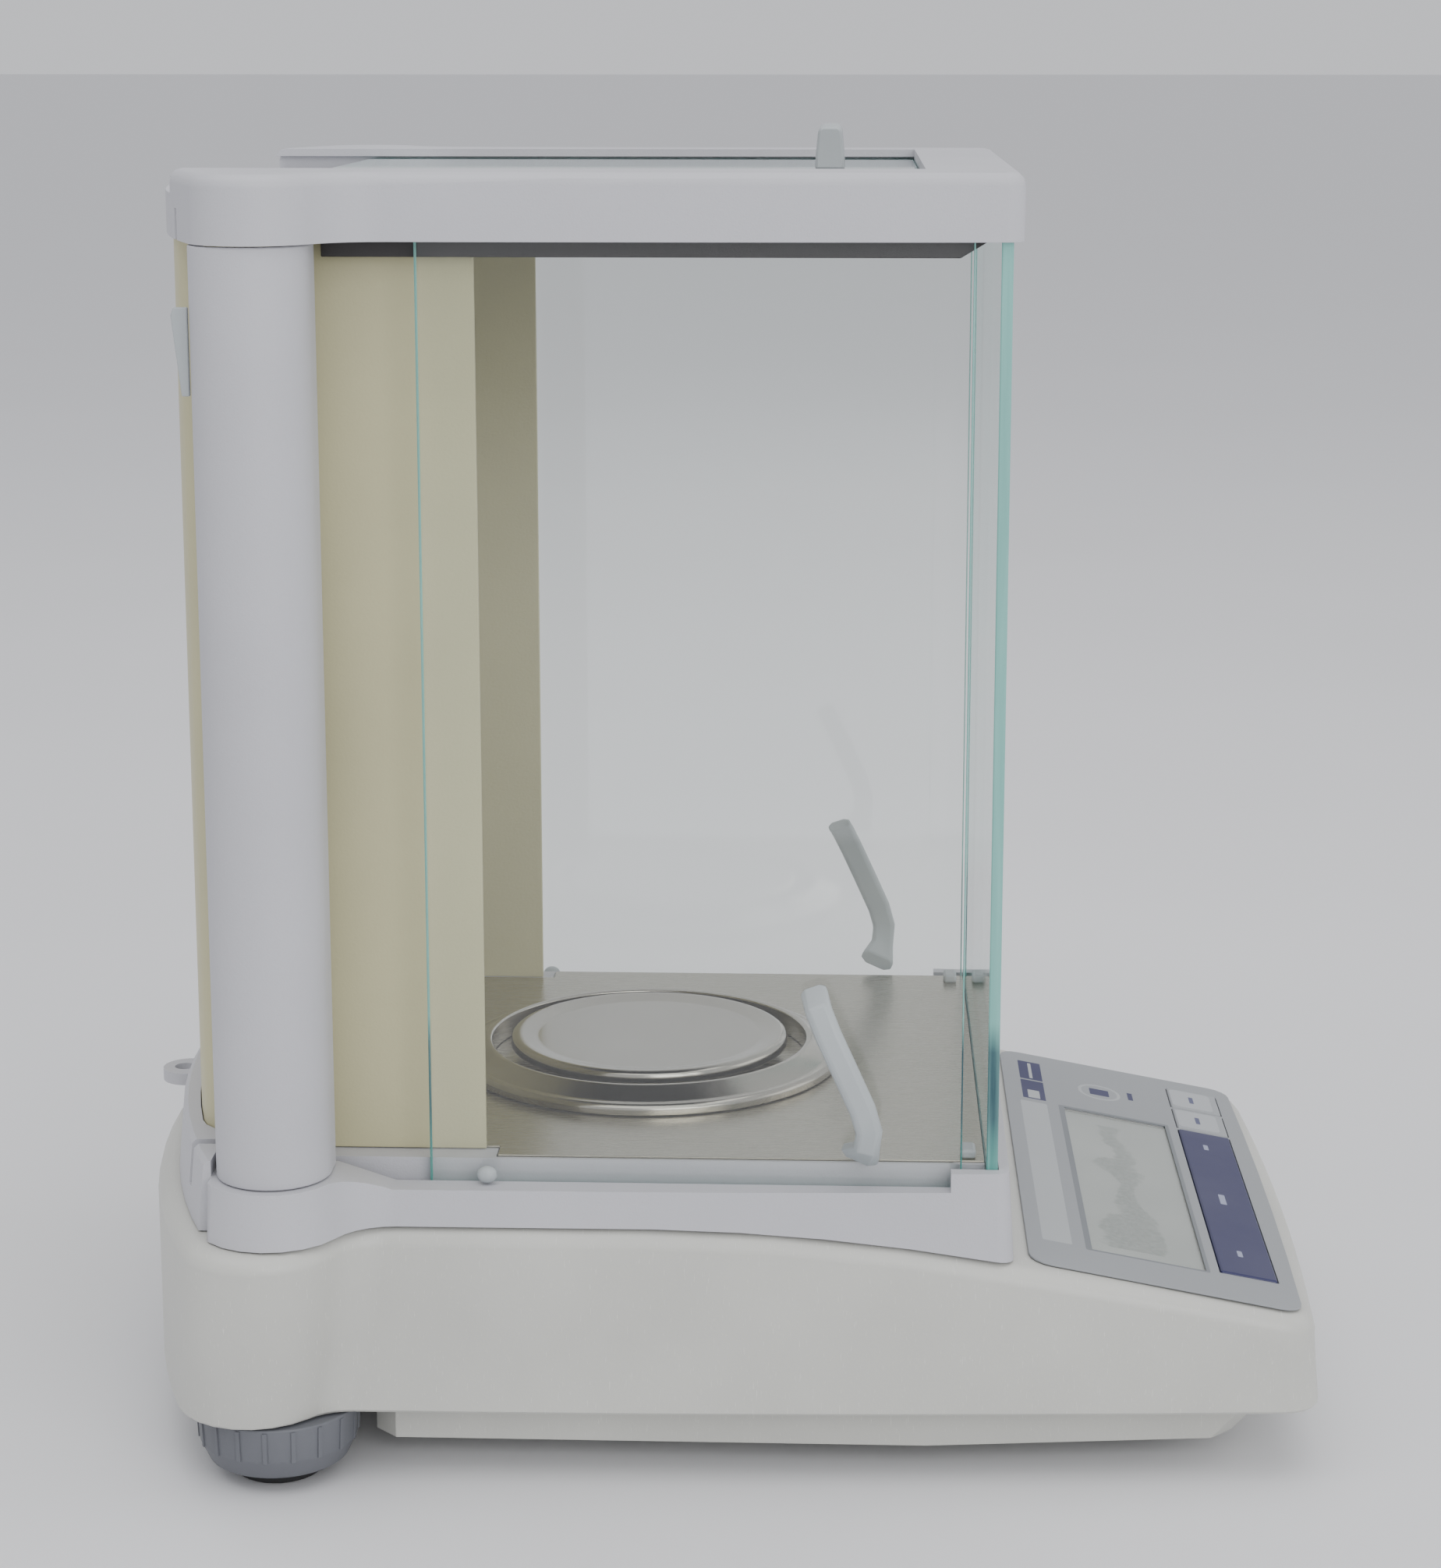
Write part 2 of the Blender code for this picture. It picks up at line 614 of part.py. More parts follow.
def make_foot(side):
    centre = (side * FOOT_X, FOOT_Y)
    wheel_top = BASE_BOTTOM - 0.0005
    bm = bmesh.new()
    rings = [
        ribbed_ring(bm, FOOT_RADIUS - 0.0040, FOOT_WHEEL_BOTTOM),
        ribbed_ring(bm, FOOT_RADIUS - 0.0006, FOOT_WHEEL_BOTTOM + 0.0034),
        ribbed_ring(bm, FOOT_RADIUS, wheel_top),
    ]
    for lower, upper in zip(rings, rings[1:]):
        for i in range(len(lower)):
            j = (i + 1) % len(lower)
            bm.faces.new((lower[i], lower[j], upper[j], upper[i]))
    bm.faces.new(rings[0])
    bm.faces.new(rings[-1])
    wheel = mesh_object(mirror_name("foot_wheel", side), bm, "foot_plastic")
    wheel.location = (*centre, 0.0)
    name = mirror_name("foot_spindle", side)
    join(wheel, cylinder(name, centre, SPINDLE_RADIUS, wheel_top - 0.002, SPINDLE_TOP))

    pad_top = FOOT_WHEEL_BOTTOM - SEAT
    pad = [
        (0.0, pad_top),
        (PAD_RADIUS, pad_top),
        (PAD_RADIUS, 0.0008),
        (PAD_RADIUS - 0.0008, 0.0),
        (0.0, 0.0),
    ]
    turned(mirror_name("foot_pad", side), pad, centre, "rubber", segments=32)

    plate_top = BASE_BOTTOM + SEAT * 2 + TRAY_PLATE
    bore = SPINDLE_RADIUS + 0.0001
    bush = [
        (bore, plate_top + 0.0090),
        (BUSH_RADIUS, plate_top + 0.0090),
        (BUSH_RADIUS, plate_top + SEAT + 0.0016),
        (BUSH_RADIUS + 0.0025, plate_top + SEAT + 0.0016),
        (BUSH_RADIUS + 0.0025, plate_top + SEAT),
        (BUSH_RADIUS, plate_top + SEAT),
        (BUSH_RADIUS, plate_top - TRAY_PLATE),
        (bore, plate_top - TRAY_PLATE),
    ]
    turned(mirror_name("foot_bush", side), bush, centre, "brass", segments=32, closed=True)

    front = [
        (0.0, BELLY_FLOOR_Z - SEAT),
        (FRONT_FOOT_RADIUS, BELLY_FLOOR_Z - SEAT),
        (FRONT_FOOT_RADIUS - 0.001, 0.0),
        (0.0, 0.0),
    ]
    place = (side * FRONT_FOOT_X, FRONT_FOOT_Y)
    turned(mirror_name("front_foot", side), front, place, "rubber", segments=24)


# ---------------------------------------------------------------- draft shield frame
def make_skirt():
    """Moulded ring under the glass: seats the panes, the floor sheet and the columns."""
    edge = 0.0012
    foot = SKIRT_INSET - SKIRT_DRAFT
    rings = [
        (half_outline(SKIRT_PLAN, foot), lambda y: base_top(y) + SEAM),
        (half_outline(SKIRT_PLAN, SKIRT_INSET), REAR_RIM_TOP - edge),
        (half_outline(SKIRT_PLAN, SKIRT_INSET + edge), REAR_RIM_TOP),
    ]
    skirt = loft("draft_shield_skirt", rings, "shield_plastic")
    lug_y = SHIELD_REAR + 0.0007
    lug = cylinder("lug", (0.0, lug_y), LUG_RADIUS, SKIRT_TOP - 0.0077, SKIRT_TOP - 0.0042)
    join(skirt, lug)
    lug_hole = lug_y + 0.0012
    rear = BODY_DEPTH / 2 + THROUGH
    side = BODY_WIDTH / 2 + THROUGH
    cutters = [
        cylinder("lug_hole", (0.0, lug_hole), LUG_HOLE_RADIUS, 0.0, BODY_HEIGHT),
        box("skirt_deck", (-side, -rear, SKIRT_TOP), (side, REAR_RIM_FRONT, BODY_HEIGHT)),
    ]
    for side in (-1, 1):
        x = sorted((side * REAR_RIM_HALF, side * (BODY_WIDTH / 2 + THROUGH)))
        low = (x[0], REAR_RIM_FRONT, 0.0)
        cutters.append(box(mirror_name("rim_notch", side), low, (x[1], rear, BODY_HEIGHT)))
        x = sorted((side * (DOOR_OUTER + GLASS_CLEARANCE), side * (BODY_WIDTH / 2 + THROUGH)))
        outline = [
            (LEDGE_FRONT, SIDE_LEDGE_Z),
            (RAMP_FRONT, SIDE_LEDGE_Z),
            (column_front() - SEAT, SKIRT_TOP),
            (column_front() - SEAT, BODY_HEIGHT),
            (LEDGE_FRONT, BODY_HEIGHT),
        ]
        name = mirror_name("ledge_cut", side)
        cutters.append(prism(name, outline, outline, x[0], x[1], axis="X"))
        x = sorted((side * (DOOR_OUTER + GLASS_CLEARANCE), side * (DOOR_INNER - GLASS_CLEARANCE)))
        low = (x[0], DOOR_CLOSED_FRONT - GLASS_CLEARANCE, GROOVE_BOTTOM)
        high = (x[1], rear, BODY_HEIGHT)
        cutters.append(box(mirror_name("door_groove", side), low, high))
    rim_inside = sheet_path(SEAT)
    cutters.append(prism("rim_inside", rim_inside, rim_inside, SKIRT_TOP, BODY_HEIGHT))
    recess = floor_outline(SEAT)
    seat = FLOOR_TOP - FLOOR_SHEET - SEAT
    cutters.append(prism("floor_recess", recess, recess, seat, BODY_HEIGHT))
    low = (-SHEET_HALF + 0.006, FRONT_GLASS_Y + 0.014, 0.0)
    cutters.append(box("skirt_middle", low, (SHEET_HALF - 0.006, SKIRT_HOLE_REAR, BODY_HEIGHT)))
    low = (-FRONT_GLASS_HALF - SEAT, FRONT_GLASS_Y - SEAT, FRONT_GLASS_BOTTOM - SEAT)
    high = (FRONT_GLASS_HALF + SEAT, FRONT_GLASS_Y + GLASS + SEAT, BODY_HEIGHT)
    cutters.append(box("front_glass_slot", low, high))
    cut(skirt, *cutters)
    return skirt


def column_centre():
    _, bulge, _ = bulge_centres(SKIRT_PLAN)
    return (bulge[0], bulge[1] - COLUMN_FORWARD)


def column_front():
    """Y of the columns' front face, tangent to their rounded corner."""
    return column_centre()[1] - (BULGE_RADIUS - COLUMN_INSET)


def floor_outline(grow):
    """Floor sheet: full width in front, narrower between the painted sheet's arms."""
    wide = DOOR_INNER - 0.0019 + grow
    narrow = SHEET_HALF - SHEET_WALL - 0.0005 + grow
    front = FRONT_GLASS_Y + 0.0118 - grow
    step = SHEET_FRONT - 0.0035 + grow
    left = [(-wide, front), (-wide, step), (-narrow, step), (-narrow, FLOOR_REAR + grow)]
    return left + [(-x, y) for x, y in reversed(left)]


def make_floor_plate():
    outline = floor_outline(0.0)
    low = FLOOR_TOP - FLOOR_SHEET
    floor = prism("floor_plate", outline, outline, low, FLOOR_TOP, "satin_steel")
    radius = RECEIVER_RADIUS + RECEIVER_HOLE_CLEARANCE
    cut(floor, cylinder("floor_hole", (0.0, PAN_CENTRE_Y), radius, 0.0, BODY_HEIGHT))


def column_path():
    """Outside of the left column in plan: front wall, round nose, rear wall."""
    bulge = column_centre()
    inner_x = -(DOOR_OUTER + 0.0033)
    radius = BULGE_RADIUS - COLUMN_INSET
    nose = arc(bulge, radius, -math.pi / 2, -3 * math.pi / 2, 20)
    return [(inner_x, bulge[1] - radius)] + nose + [(inner_x, bulge[1] + radius)]


def make_column(side):
    path = [(side * -x, y) for x, y in column_path()]
    outline = offset_wall(path, COLUMN_WALL * -side)
    low, high = SKIRT_TOP + SEAT, COVER_BOTTOM - SEAT
    column = prism(mirror_name("column", side), outline, outline, low, high, "shield_plastic")
    column.data.shade_smooth()
    column.data.set_sharp_from_angle(angle=math.radians(35))


def make_column_clip(side):
    """Small tapered tab clipped over the column's rear edge."""
    y = column_centre()[1] + BULGE_RADIUS - COLUMN_INSET + SEAT
    outline = [
        (y, 0.2890),
        (y + 0.0020, 0.2890),
        (y + 0.0042, 0.3090),
        (y + 0.0035, 0.3110),
        (y, 0.3110),
    ]
    low, high = sorted((side * 0.1050, side * 0.1034))
    name = mirror_name("column_clip", side)
    prism(name, outline, outline, low, high, "handle_plastic", axis="X")


def sheet_path(grow):
    """Outside of the U-shaped chamber sheet, from one front edge round to the other."""
    rear_centre = (0.0, SHEET_REAR - SHEET_REAR_RADIUS)
    reach = SHEET_REAR_RADIUS - SHEET_CORNER_RADIUS
    corner_x = -(SHEET_HALF - SHEET_CORNER_RADIUS)
    corner = (corner_x, rear_centre[1] + math.sqrt(reach**2 - corner_x**2))
    turn = direction(rear_centre, corner)
    left = [(-SHEET_HALF - grow, SHEET_FRONT)]
    left += arc(corner, SHEET_CORNER_RADIUS + grow, math.pi, turn, 4)
    left += arc(rear_centre, SHEET_REAR_RADIUS + grow, turn, math.pi / 2, 6)[1:]
    return left + [(-x, y) for x, y in reversed(left[:-1])]


def make_chamber_sheet():
    """Painted sheet bent to a U: two arms inside the doors and a bowed rear wall."""
    outline = offset_wall(sheet_path(0.0), SHEET_WALL)
    low, high = SKIRT_TOP + SEAT, COVER_BOTTOM - SEAT
    prism("chamber_sheet", outline, outline, low, high, "sheet_paint")


def make_guide_frame():
    """Black U-shaped frame under the cover, outside the chamber sheet and inside the doors."""
    outer = DOOR_INNER - 0.0009
    inner = SHEET_HALF + 0.0010
    front = FRONT_GLASS_Y + GLASS + 0.0033
    rear = column_front() - 0.0005

    def outline(front_y):
        left = [
            (-outer, front_y),
            (-outer, rear),
            (-inner, rear),
            (-inner, TOP_OPENING_FRONT - 0.0100),
        ]
        return left + [(-x, y) for x, y in reversed(left)]

    high = COVER_BOTTOM - SEAT
    prism("guide_frame", outline(front + 0.0067), outline(front), high - 0.004, high, "black_plastic")


def make_cover():
    """Top cover with the channel for the top pane, and grooves for the side and front panes."""
    soft = 0.0035
    rings = [(half_outline(COVER_PLAN, COVER_INSET), COVER_BOTTOM)]
    rings += rounded_top_rings(COVER_PLAN, COVER_INSET, soft, lambda y: BODY_HEIGHT)
    cover = loft("top_cover", rings, "shield_plastic")
    glass_top = BODY_HEIGHT - TOP_GLASS_BELOW_COVER
    channel = glass_top - GLASS - GLASS_CLEARANCE
    rear = BODY_DEPTH / 2 + THROUGH
    front = TOP_DOOR_FRONT - GLASS_CLEARANCE
    lip = TOP_DOOR_HALF - 0.0023
    groove = TOP_DOOR_HALF + GLASS_CLEARANCE
    cutters = [
        box("cover_mouth", (-lip, front, channel), (lip, rear, BODY_HEIGHT + THROUGH)),
        box("cover_channel", (-groove, front, channel), (groove, rear, glass_top + GLASS_CLEARANCE)),
        box(
            "cover_opening",
            (-TOP_OPENING_HALF, TOP_OPENING_FRONT, COVER_BOTTOM - THROUGH),
            (TOP_OPENING_HALF, TOP_OPENING_REAR, BODY_HEIGHT),
        ),
        box(
            "cover_rear_pocket",
            (-TOP_OPENING_HALF, TOP_OPENING_REAR + 0.006, COVER_BOTTOM - THROUGH),
            (TOP_OPENING_HALF, 0.1300, channel - 0.0020),
        ),
        box(
            "cover_front_groove",
            (-FRONT_GLASS_HALF - SEAT, FRONT_GLASS_Y - SEAT, COVER_BOTTOM - THROUGH),
            (FRONT_GLASS_HALF + SEAT, FRONT_GLASS_Y + GLASS + SEAT, DOOR_TOP + SEAT + 0.001),
        ),
    ]
    for side in (-1, 1):
        x = sorted((side * (DOOR_OUTER + GLASS_CLEARANCE), side * (DOOR_INNER - GLASS_CLEARANCE)))
        low = (x[0], DOOR_CLOSED_FRONT - GLASS_CLEARANCE, COVER_BOTTOM - THROUGH)
        high = (x[1], rear, DOOR_TOP + 0.001)
        cutters.append(box(mirror_name("cover_door_groove", side), low, high))
    cut(cover, *cutters)


# ---------------------------------------------------------------- panes and doors
def make_front_glass():
    low = (-FRONT_GLASS_HALF, FRONT_GLASS_Y, FRONT_GLASS_BOTTOM)
    high = (FRONT_GLASS_HALF, FRONT_GLASS_Y + GLASS, DOOR_TOP + 0.0005)
    box("front_glass", low, high, "clear_glass", bevel=0.0003)


def make_glass_clip(side):
    """Clip behind a lower corner of the front pane."""
    y = FRONT_GLASS_Y + GLASS + 0.0025
    x = sorted((side * 0.0790, side * 0.0860))
    low = (x[0], y, SKIRT_TOP + SEAT)
    high = (x[1], y + 0.0040, SKIRT_TOP + 0.0030)
    box(mirror_name("glass_clip", side), low, high, "handle_plastic", bevel=0.0006)


def door_open(side):
    return LEFT_DOOR_AJAR if side < 0 else 0.0


# Handle centre line on a closed left door: (distance out from the pane, y, z).
HANDLE_SECTION = (
    (-1, -0.5),
    (-0.72, -1),
    (0.72, -1),
    (1, -0.5),
    (1, 0.4),
    (0.6, 1),
    (-0.6, 1),
    (-1, 0.4),
)
HANDLE_LINE = (
    (0.0000, -0.0304, 0.1341),
    (0.0055, -0.0316, 0.1308),
    (0.0085, -0.0344, 0.1245),
    (0.0090, -0.0390, 0.1145),
    (0.0090, -0.0433, 0.1050),
    (0.0088, -0.0450, 0.0990),
    (0.0062, -0.0444, 0.0935),
    (0.0000, -0.0427, 0.0897),
)


def make_handle(side):
    """Bow handle: its bar stands off the pane and both ends come back to the glass."""
    outer = DOOR_OUTER + SEAT
    centres = [Vector((outer + out, y, z)) for out, y, z in HANDLE_LINE]
    bm = bmesh.new()
    rings = []
    last = len(centres) - 1
    for i, centre in enumerate(centres):
        along = (centres[min(i + 1, last)] - centres[max(i - 1, 0)]).normalized()
        across = Vector((0.0, along.z, -along.y)).normalized()
        outward = along.cross(across).normalized()
        if outward.x < 0:
            outward.negate()
        grow = HANDLE_FOOT_GROW if i == last else 1.0
        half_w, half_t = HANDLE_WIDTH / 2 * grow, HANDLE_THICK / 2 * grow
        ring = []
        for u, v in HANDLE_SECTION:
            point = centre + across * (u * half_w) + outward * (v * half_t)
            point.x = outer if i in (0, last) else max(point.x, outer)
            ring.append(bm.verts.new((side * point.x, point.y, point.z)))
        rings.append(ring)
    for lower, upper in zip(rings, rings[1:]):
        for i in range(len(lower)):
            j = (i + 1) % len(lower)
            bm.faces.new((lower[i], lower[j], upper[j], upper[i]))
    bm.faces.new(rings[0])
    bm.faces.new(rings[-1])
    handle = mesh_object(mirror_name("door_handle", side), bm, "handle_plastic", smooth=True)
    handle.location.y = door_open(side)


def make_side_door(side):
    x = sorted((side * DOOR_INNER, side * DOOR_OUTER))
    low = (x[0], DOOR_CLOSED_FRONT, DOOR_BOTTOM)
    high = (x[1], DOOR_CLOSED_FRONT + DOOR_WIDTH, DOOR_TOP)
    pane = box(mirror_name("door_glass", side), low, high, "clear_glass", bevel=0.0003)
    pane.location.y = door_open(side)
    make_handle(side)


def make_guide_stud(side):
    """Egg-shaped stud on the outer ledge that keeps the pane in its groove."""
    bm = bmesh.new()
    bmesh.ops.create_uvsphere(bm, u_segments=16, v_segments=10, radius=1.0)
    stud = mesh_object(mirror_name("guide_stud", side), bm, "handle_plastic", smooth=True)
    half = (0.0020, 0.0027, 0.0023)
    for vertex in stud.data.vertices:
        vertex.co = [value * size for value, size in zip(vertex.co, half)]
    gap = SEAT + GLASS_CLEARANCE
    stud.location = (side * (DOOR_OUTER + gap + half[0]), GUIDE_STUD_Y, SIDE_LEDGE_Z + SEAT + half[2])


def make_top_door():
    z = BODY_HEIGHT - TOP_GLASS_BELOW_COVER
    low = (-TOP_DOOR_HALF, TOP_DOOR_FRONT, z - GLASS)
    high = (TOP_DOOR_HALF, TOP_DOOR_FRONT + TOP_GLASS_DEPTH, z)
    box("top_door_glass", low, high, "clear_glass", bevel=0.0003)
    base = z + SEAT
    top = BODY_HEIGHT + 0.0090
    y = TOP_HANDLE_Y
    profile = [
        (y - 0.0040, base),
        (y + 0.0040, base),
        (y + 0.0038, base + 0.0040),
        (y + 0.0032, top - 0.0010),
        (y + 0.0022, top),
        (y - 0.0022, top),
        (y - 0.0032, top - 0.0010),
        (y - 0.0038, base + 0.0040),
    ]
    prism("top_door_handle", profile, profile, -0.0200, 0.0200, "handle_plastic", axis="X")


# ---------------------------------------------------------------- pan, ring and weighing cell
def make_pan():
    radius = PAN_DIAMETER / 2
    sheet = 0.0012
    low = PAN_TOP - PAN_RIM_HEIGHT
    boss = RECEIVER_RADIUS + 0.0020
    profile = [
        (0.0, PAN_TOP),
        (radius - 0.0030, PAN_TOP),
        (radius - 0.0008, PAN_TOP - 0.0004),
        (radius, PAN_TOP - 0.0014),
        (radius, low),
        (radius - sheet, low),
        (radius - sheet, PAN_TOP - sheet - 0.0008),
        (radius - 0.0040, PAN_TOP - sheet),
        (boss, PAN_TOP - sheet),
        (boss, PAN_TOP - 0.0062),
        (RECEIVER_RADIUS * 0.75 + SEAT, PAN_TOP - 0.0062),
        (RECEIVER_RADIUS * 0.5 + SEAT, PAN_TOP - 0.0024),
        (0.0, PAN_TOP - 0.0024),
    ]
    turned("weighing_pan", profile, (0.0, PAN_CENTRE_Y), "polished_steel", segments=64)


def make_ring():
    inner, outer = RING_INNER_RADIUS, RING_OUTER_RADIUS
    low = FLOOR_TOP + SEAT
    high = FLOOR_TOP + RING_HEIGHT
    sheet = RING_SHEET
    profile = [
        (inner + 0.0004, high),
        (inner + 0.0016, high - 0.0002),
        (outer - 0.0018, high - 0.0036),
        (outer - 0.0004, high - 0.0046),
        (outer, high - 0.0056),
        (outer, low),
        (outer - sheet, low),
        (outer - sheet, high - 0.0056),
        (outer - 0.0024, high - 0.0036 - sheet),
        (inner + sheet + 0.0003, high - 0.0002 - sheet),
        (inner + sheet, low),
        (inner, low),
        (inner, high - 0.0004),
    ]
    turned(
        "draft_ring", profile, (0.0, PAN_CENTRE_Y), "polished_steel", segments=64, closed=True
    )


def make_receiver():
    """Upright stud that carries the pan on its cone, with a fork at the bottom for the lever."""
    top = PAN_TOP - 0.0024 - SEAT
    foot = 0.0430
    profile = [
        (0.0, top),
        (RECEIVER_RADIUS * 0.5, top),
        (RECEIVER_RADIUS * 0.75, top - 0.0038),
        (RECEIVER_RADIUS, top - 0.0040 - 0.0020),
        (RECEIVER_RADIUS, foot + 0.0060),
        (RECEIVER_RADIUS + 0.0030, foot + 0.0060),
        (RECEIVER_RADIUS + 0.0030, foot),
        (0.0, foot),
    ]
    turned("load_receiver", profile, (0.0, PAN_CENTRE_Y), "aluminium", segments=32)


def make_cell():
    """Force cell: a block with a slot for the lever, the magnet pot and the coil on the lever."""
    receiver_y = PAN_CENTRE_Y
    pivot_y = receiver_y + LEVER_SHORT_ARM
    coil_y = pivot_y + LEVER_LONG_ARM
    half = 0.0300
    block_low = (-half, pivot_y - 0.0070, BASE_BOTTOM + 0.0035)
    block_high = (half, coil_y - 0.0180, 0.0620)
    block = box("cell_body", block_low, block_high, "aluminium", bevel=0.0008)
    slot_low = (-0.0085, block_low[1] - THROUGH, LEVER_Z - 0.0045)
    slot_high = (0.0085, block_high[1] + THROUGH, 0.0620 + THROUGH)
    cut(block, box("lever_slot", slot_low, slot_high))
    lever_low = (-0.0060, receiver_y - 0.0040, LEVER_Z - LEVER_THICK / 2)
    lever_high = (0.0060, coil_y + 0.0060, LEVER_Z + LEVER_THICK / 2)
    lever = box("cell_lever", lever_low, lever_high, "aluminium")
    pin_low, pin_high = pivot_y - 0.0015, pivot_y + 0.0015
    low = (-0.0078, pin_low, LEVER_Z - 0.0030)
    join(lever, box("lever_pivot_rib", low, (0.0078, pin_high, LEVER_Z + 0.0030)))
    coil_top = LEVER_Z - LEVER_THICK / 2 - SEAT
    coil = [
        (0.0060, coil_top),
        (0.0095, coil_top),
        (0.0095, coil_top - 0.0060),
        (0.0060, coil_top - 0.0060),
    ]
    turned("force_coil", coil, (0.0, coil_y), "copper", segments=32, closed=True)
    pot_top = coil_top - 0.0022
    pot_low = BASE_BOTTOM + 0.0035
    pot = [
        (0.0, pot_top),
        (0.0042, pot_top),
        (0.0042, pot_low + 0.0030),
        (0.0120, pot_low + 0.0030),
        (0.0120, pot_top),
        (0.0155, pot_top),
        (0.0155, pot_low),
        (0.0, pot_low),
    ]
    turned("magnet_pot", pot, (0.0, coil_y), "magnet_steel", segments=32)


# ---------------------------------------------------------------- electronics and controls
def make_boards():
    low = (0.0420, -0.0700, BASE_BOTTOM + 0.0060)
    high = (0.0860, 0.0800, BASE_BOTTOM + 0.0076)
    board = box("main_board", low, high, "circuit_board")
    chips = [
        ((0.050, -0.040), (0.018, 0.018)),
        ((0.050, 0.010), (0.012, 0.020)),
        ((0.068, 0.040), (0.010, 0.014)),
    ]
    for index, ((x, y), (width, depth)) in enumerate(chips):
        chip_low = (x, y, high[2] - 0.0005)
        chip_high = (x + width, y + depth, high[2] + 0.0025)
        join(board, box(f"chip_{index}", chip_low, chip_high))


def make_connector(name, hole_name, x, half_width, half_height, housing):
    """A socket through the bowed rear wall."""
    z = 0.0380
    rear_y = BASE_PLAN.rear - REAR_ARC_RADIUS + math.sqrt(REAR_ARC_RADIUS**2 - x**2)
    low = (x - half_width, rear_y - 0.0160, z - half_height)
    high = (x + half_width, rear_y + 0.0004, z + half_height)
    body = box(name, low, high, "black_plastic", bevel=0.0004)
    wall = 0.0015
    inner_low = (low[0] + wall, rear_y - 0.0080, low[2] + wall)
    inner_high = (high[0] - wall, rear_y + THROUGH, high[2] - wall)
    cut(body, box(name + "_mouth", inner_low, inner_high))
    grow = Vector((SEAT, 0.0, SEAT))
    cut(housing, box(hole_name, Vector(low) - grow, Vector(high) + grow + Vector((0, THROUGH, 0))))


def make_level():
    """Bubble level at the rear of the chamber floor: a holder ring and its glass vial."""
    z = FLOOR_TOP + SEAT
    holder = [
        (0.0, z + 0.0010),
        (0.0072, z + 0.0010),
        (0.0072, z + 0.0060),
        (0.0090, z + 0.0060),
        (0.0096, z),
        (0.0, z),
    ]
    turned("level_holder", holder, (0.0, LEVEL_Y), "black_plastic", segments=32)
    vial = [
        (0.0, z + 0.0056),
        (0.0066, z + 0.0056),
        (0.0069, z + 0.0052),
        (0.0069, z + 0.0013),
        (0.0, z + 0.0013),
    ]
    turned("level_vial", vial, (0.0, LEVEL_Y), "clear_glass", segments=32)


def panel_frame():
    """Empty on the panel's rear edge; its local -Y runs down the slope, +Z out of the panel."""
    frame = bpy.data.objects.new("panel_frame", None)
    PARTS.objects.link(frame)
    frame.location = (0.0, PANEL_REAR_Y, base_top(PANEL_REAR_Y))
    frame.rotation_euler = (PANEL_ANGLE, 0.0, 0.0)
    return frame


def small_key_left(index):
    return TARE_RIGHT + (SMALL_KEY_PITCH - SMALL_KEY_WIDTH) + index * SMALL_KEY_PITCH


def key_spans():
    """(name, left, right, finish) of each key."""
    first, second = small_key_left(0), small_key_left(1)
    return [
        ("tare_bar", TARE_LEFT, TARE_RIGHT, "key_blue"),
        ("menu_key", first, first + SMALL_KEY_WIDTH, "panel_foil"),
        ("print_key", second, second + SMALL_KEY_WIDTH, "panel_foil"),
    ]


def make_panel(housing):
    frame = panel_frame()
    cutters = []

    def panel_box(name, left, right, rear, front, low, high, finish=None, bevel=0.0):
        return box(name, (left, -front, low), (right, -rear, high), finish, frame, bevel)

    gap = KEY_CLEARANCE
    foil_low = SEAT
    foil = make_foil(frame, foil_low)
    openings = [("window", WINDOW_LEFT, WINDOW_RIGHT, WINDOW_REAR, WINDOW_FRONT)]
    openings += [(name, left, right, KEY_REAR, KEY_FRONT) for name, left, right, _ in key_spans()]
    for name, left, right, rear, front in openings:
        sides = (left - gap, right + gap, rear - gap, front + gap)
        cutters.append(panel_box(name + "_opening", *sides, -THROUGH / 4, THROUGH))
    cut(foil, *cutters)
    cut(housing, *cutters)

    deck = -SHELL_WALL
    panel_box(
        "display_window",
        WINDOW_LEFT,
        WINDOW_RIGHT,
        WINDOW_REAR,
        WINDOW_FRONT,
        deck - 0.0001,
        foil_low + PANEL_FOIL - 0.0002,
        "clear_glass",
    )
    panel_box(
        "lcd_module",
        WINDOW_LEFT - 0.0020,
        WINDOW_RIGHT + 0.0020,
        WINDOW_REAR - 0.0020,
        WINDOW_FRONT + 0.0012,
        deck - 0.0070,
        deck - 0.0004,
        "display",
    )
    for name, left, right, finish in key_spans():
        key = panel_box(name, left, right, KEY_REAR, KEY_FRONT, -KEY_DEPTH, KEY_STAND, finish, 0.0004)
        sides = (
            left - KEY_FLANGE,
            right + KEY_FLANGE,
            KEY_REAR - KEY_FLANGE,
            KEY_FRONT + KEY_FLANGE,
        )
        join(key, panel_box(name + "_flange", *sides, -KEY_DEPTH - 0.0003, deck - SEAT * 1.5))
    board_top = -KEY_DEPTH - 0.0018
    board = panel_box(
        "key_board",
        TARE_LEFT - 0.0030,
        small_key_left(1) + SMALL_KEY_WIDTH + 0.0010,
        WINDOW_FRONT + 0.0025,
        KEY_FRONT - 0.0020,
        board_top - 0.0016,
        board_top,
        "circuit_board",
    )
    for name, left, right, _ in key_spans():
        middle = (left + right) / 2
        depth = (KEY_REAR + KEY_FRONT) / 2
        dome = panel_box(
            name + "_switch",
            middle - 0.0030,
            middle + 0.0030,
            depth - 0.0030,
            depth + 0.0030,
            board_top - 0.0005,
            board_top + 0.0009,
        )
        join(board, dome)


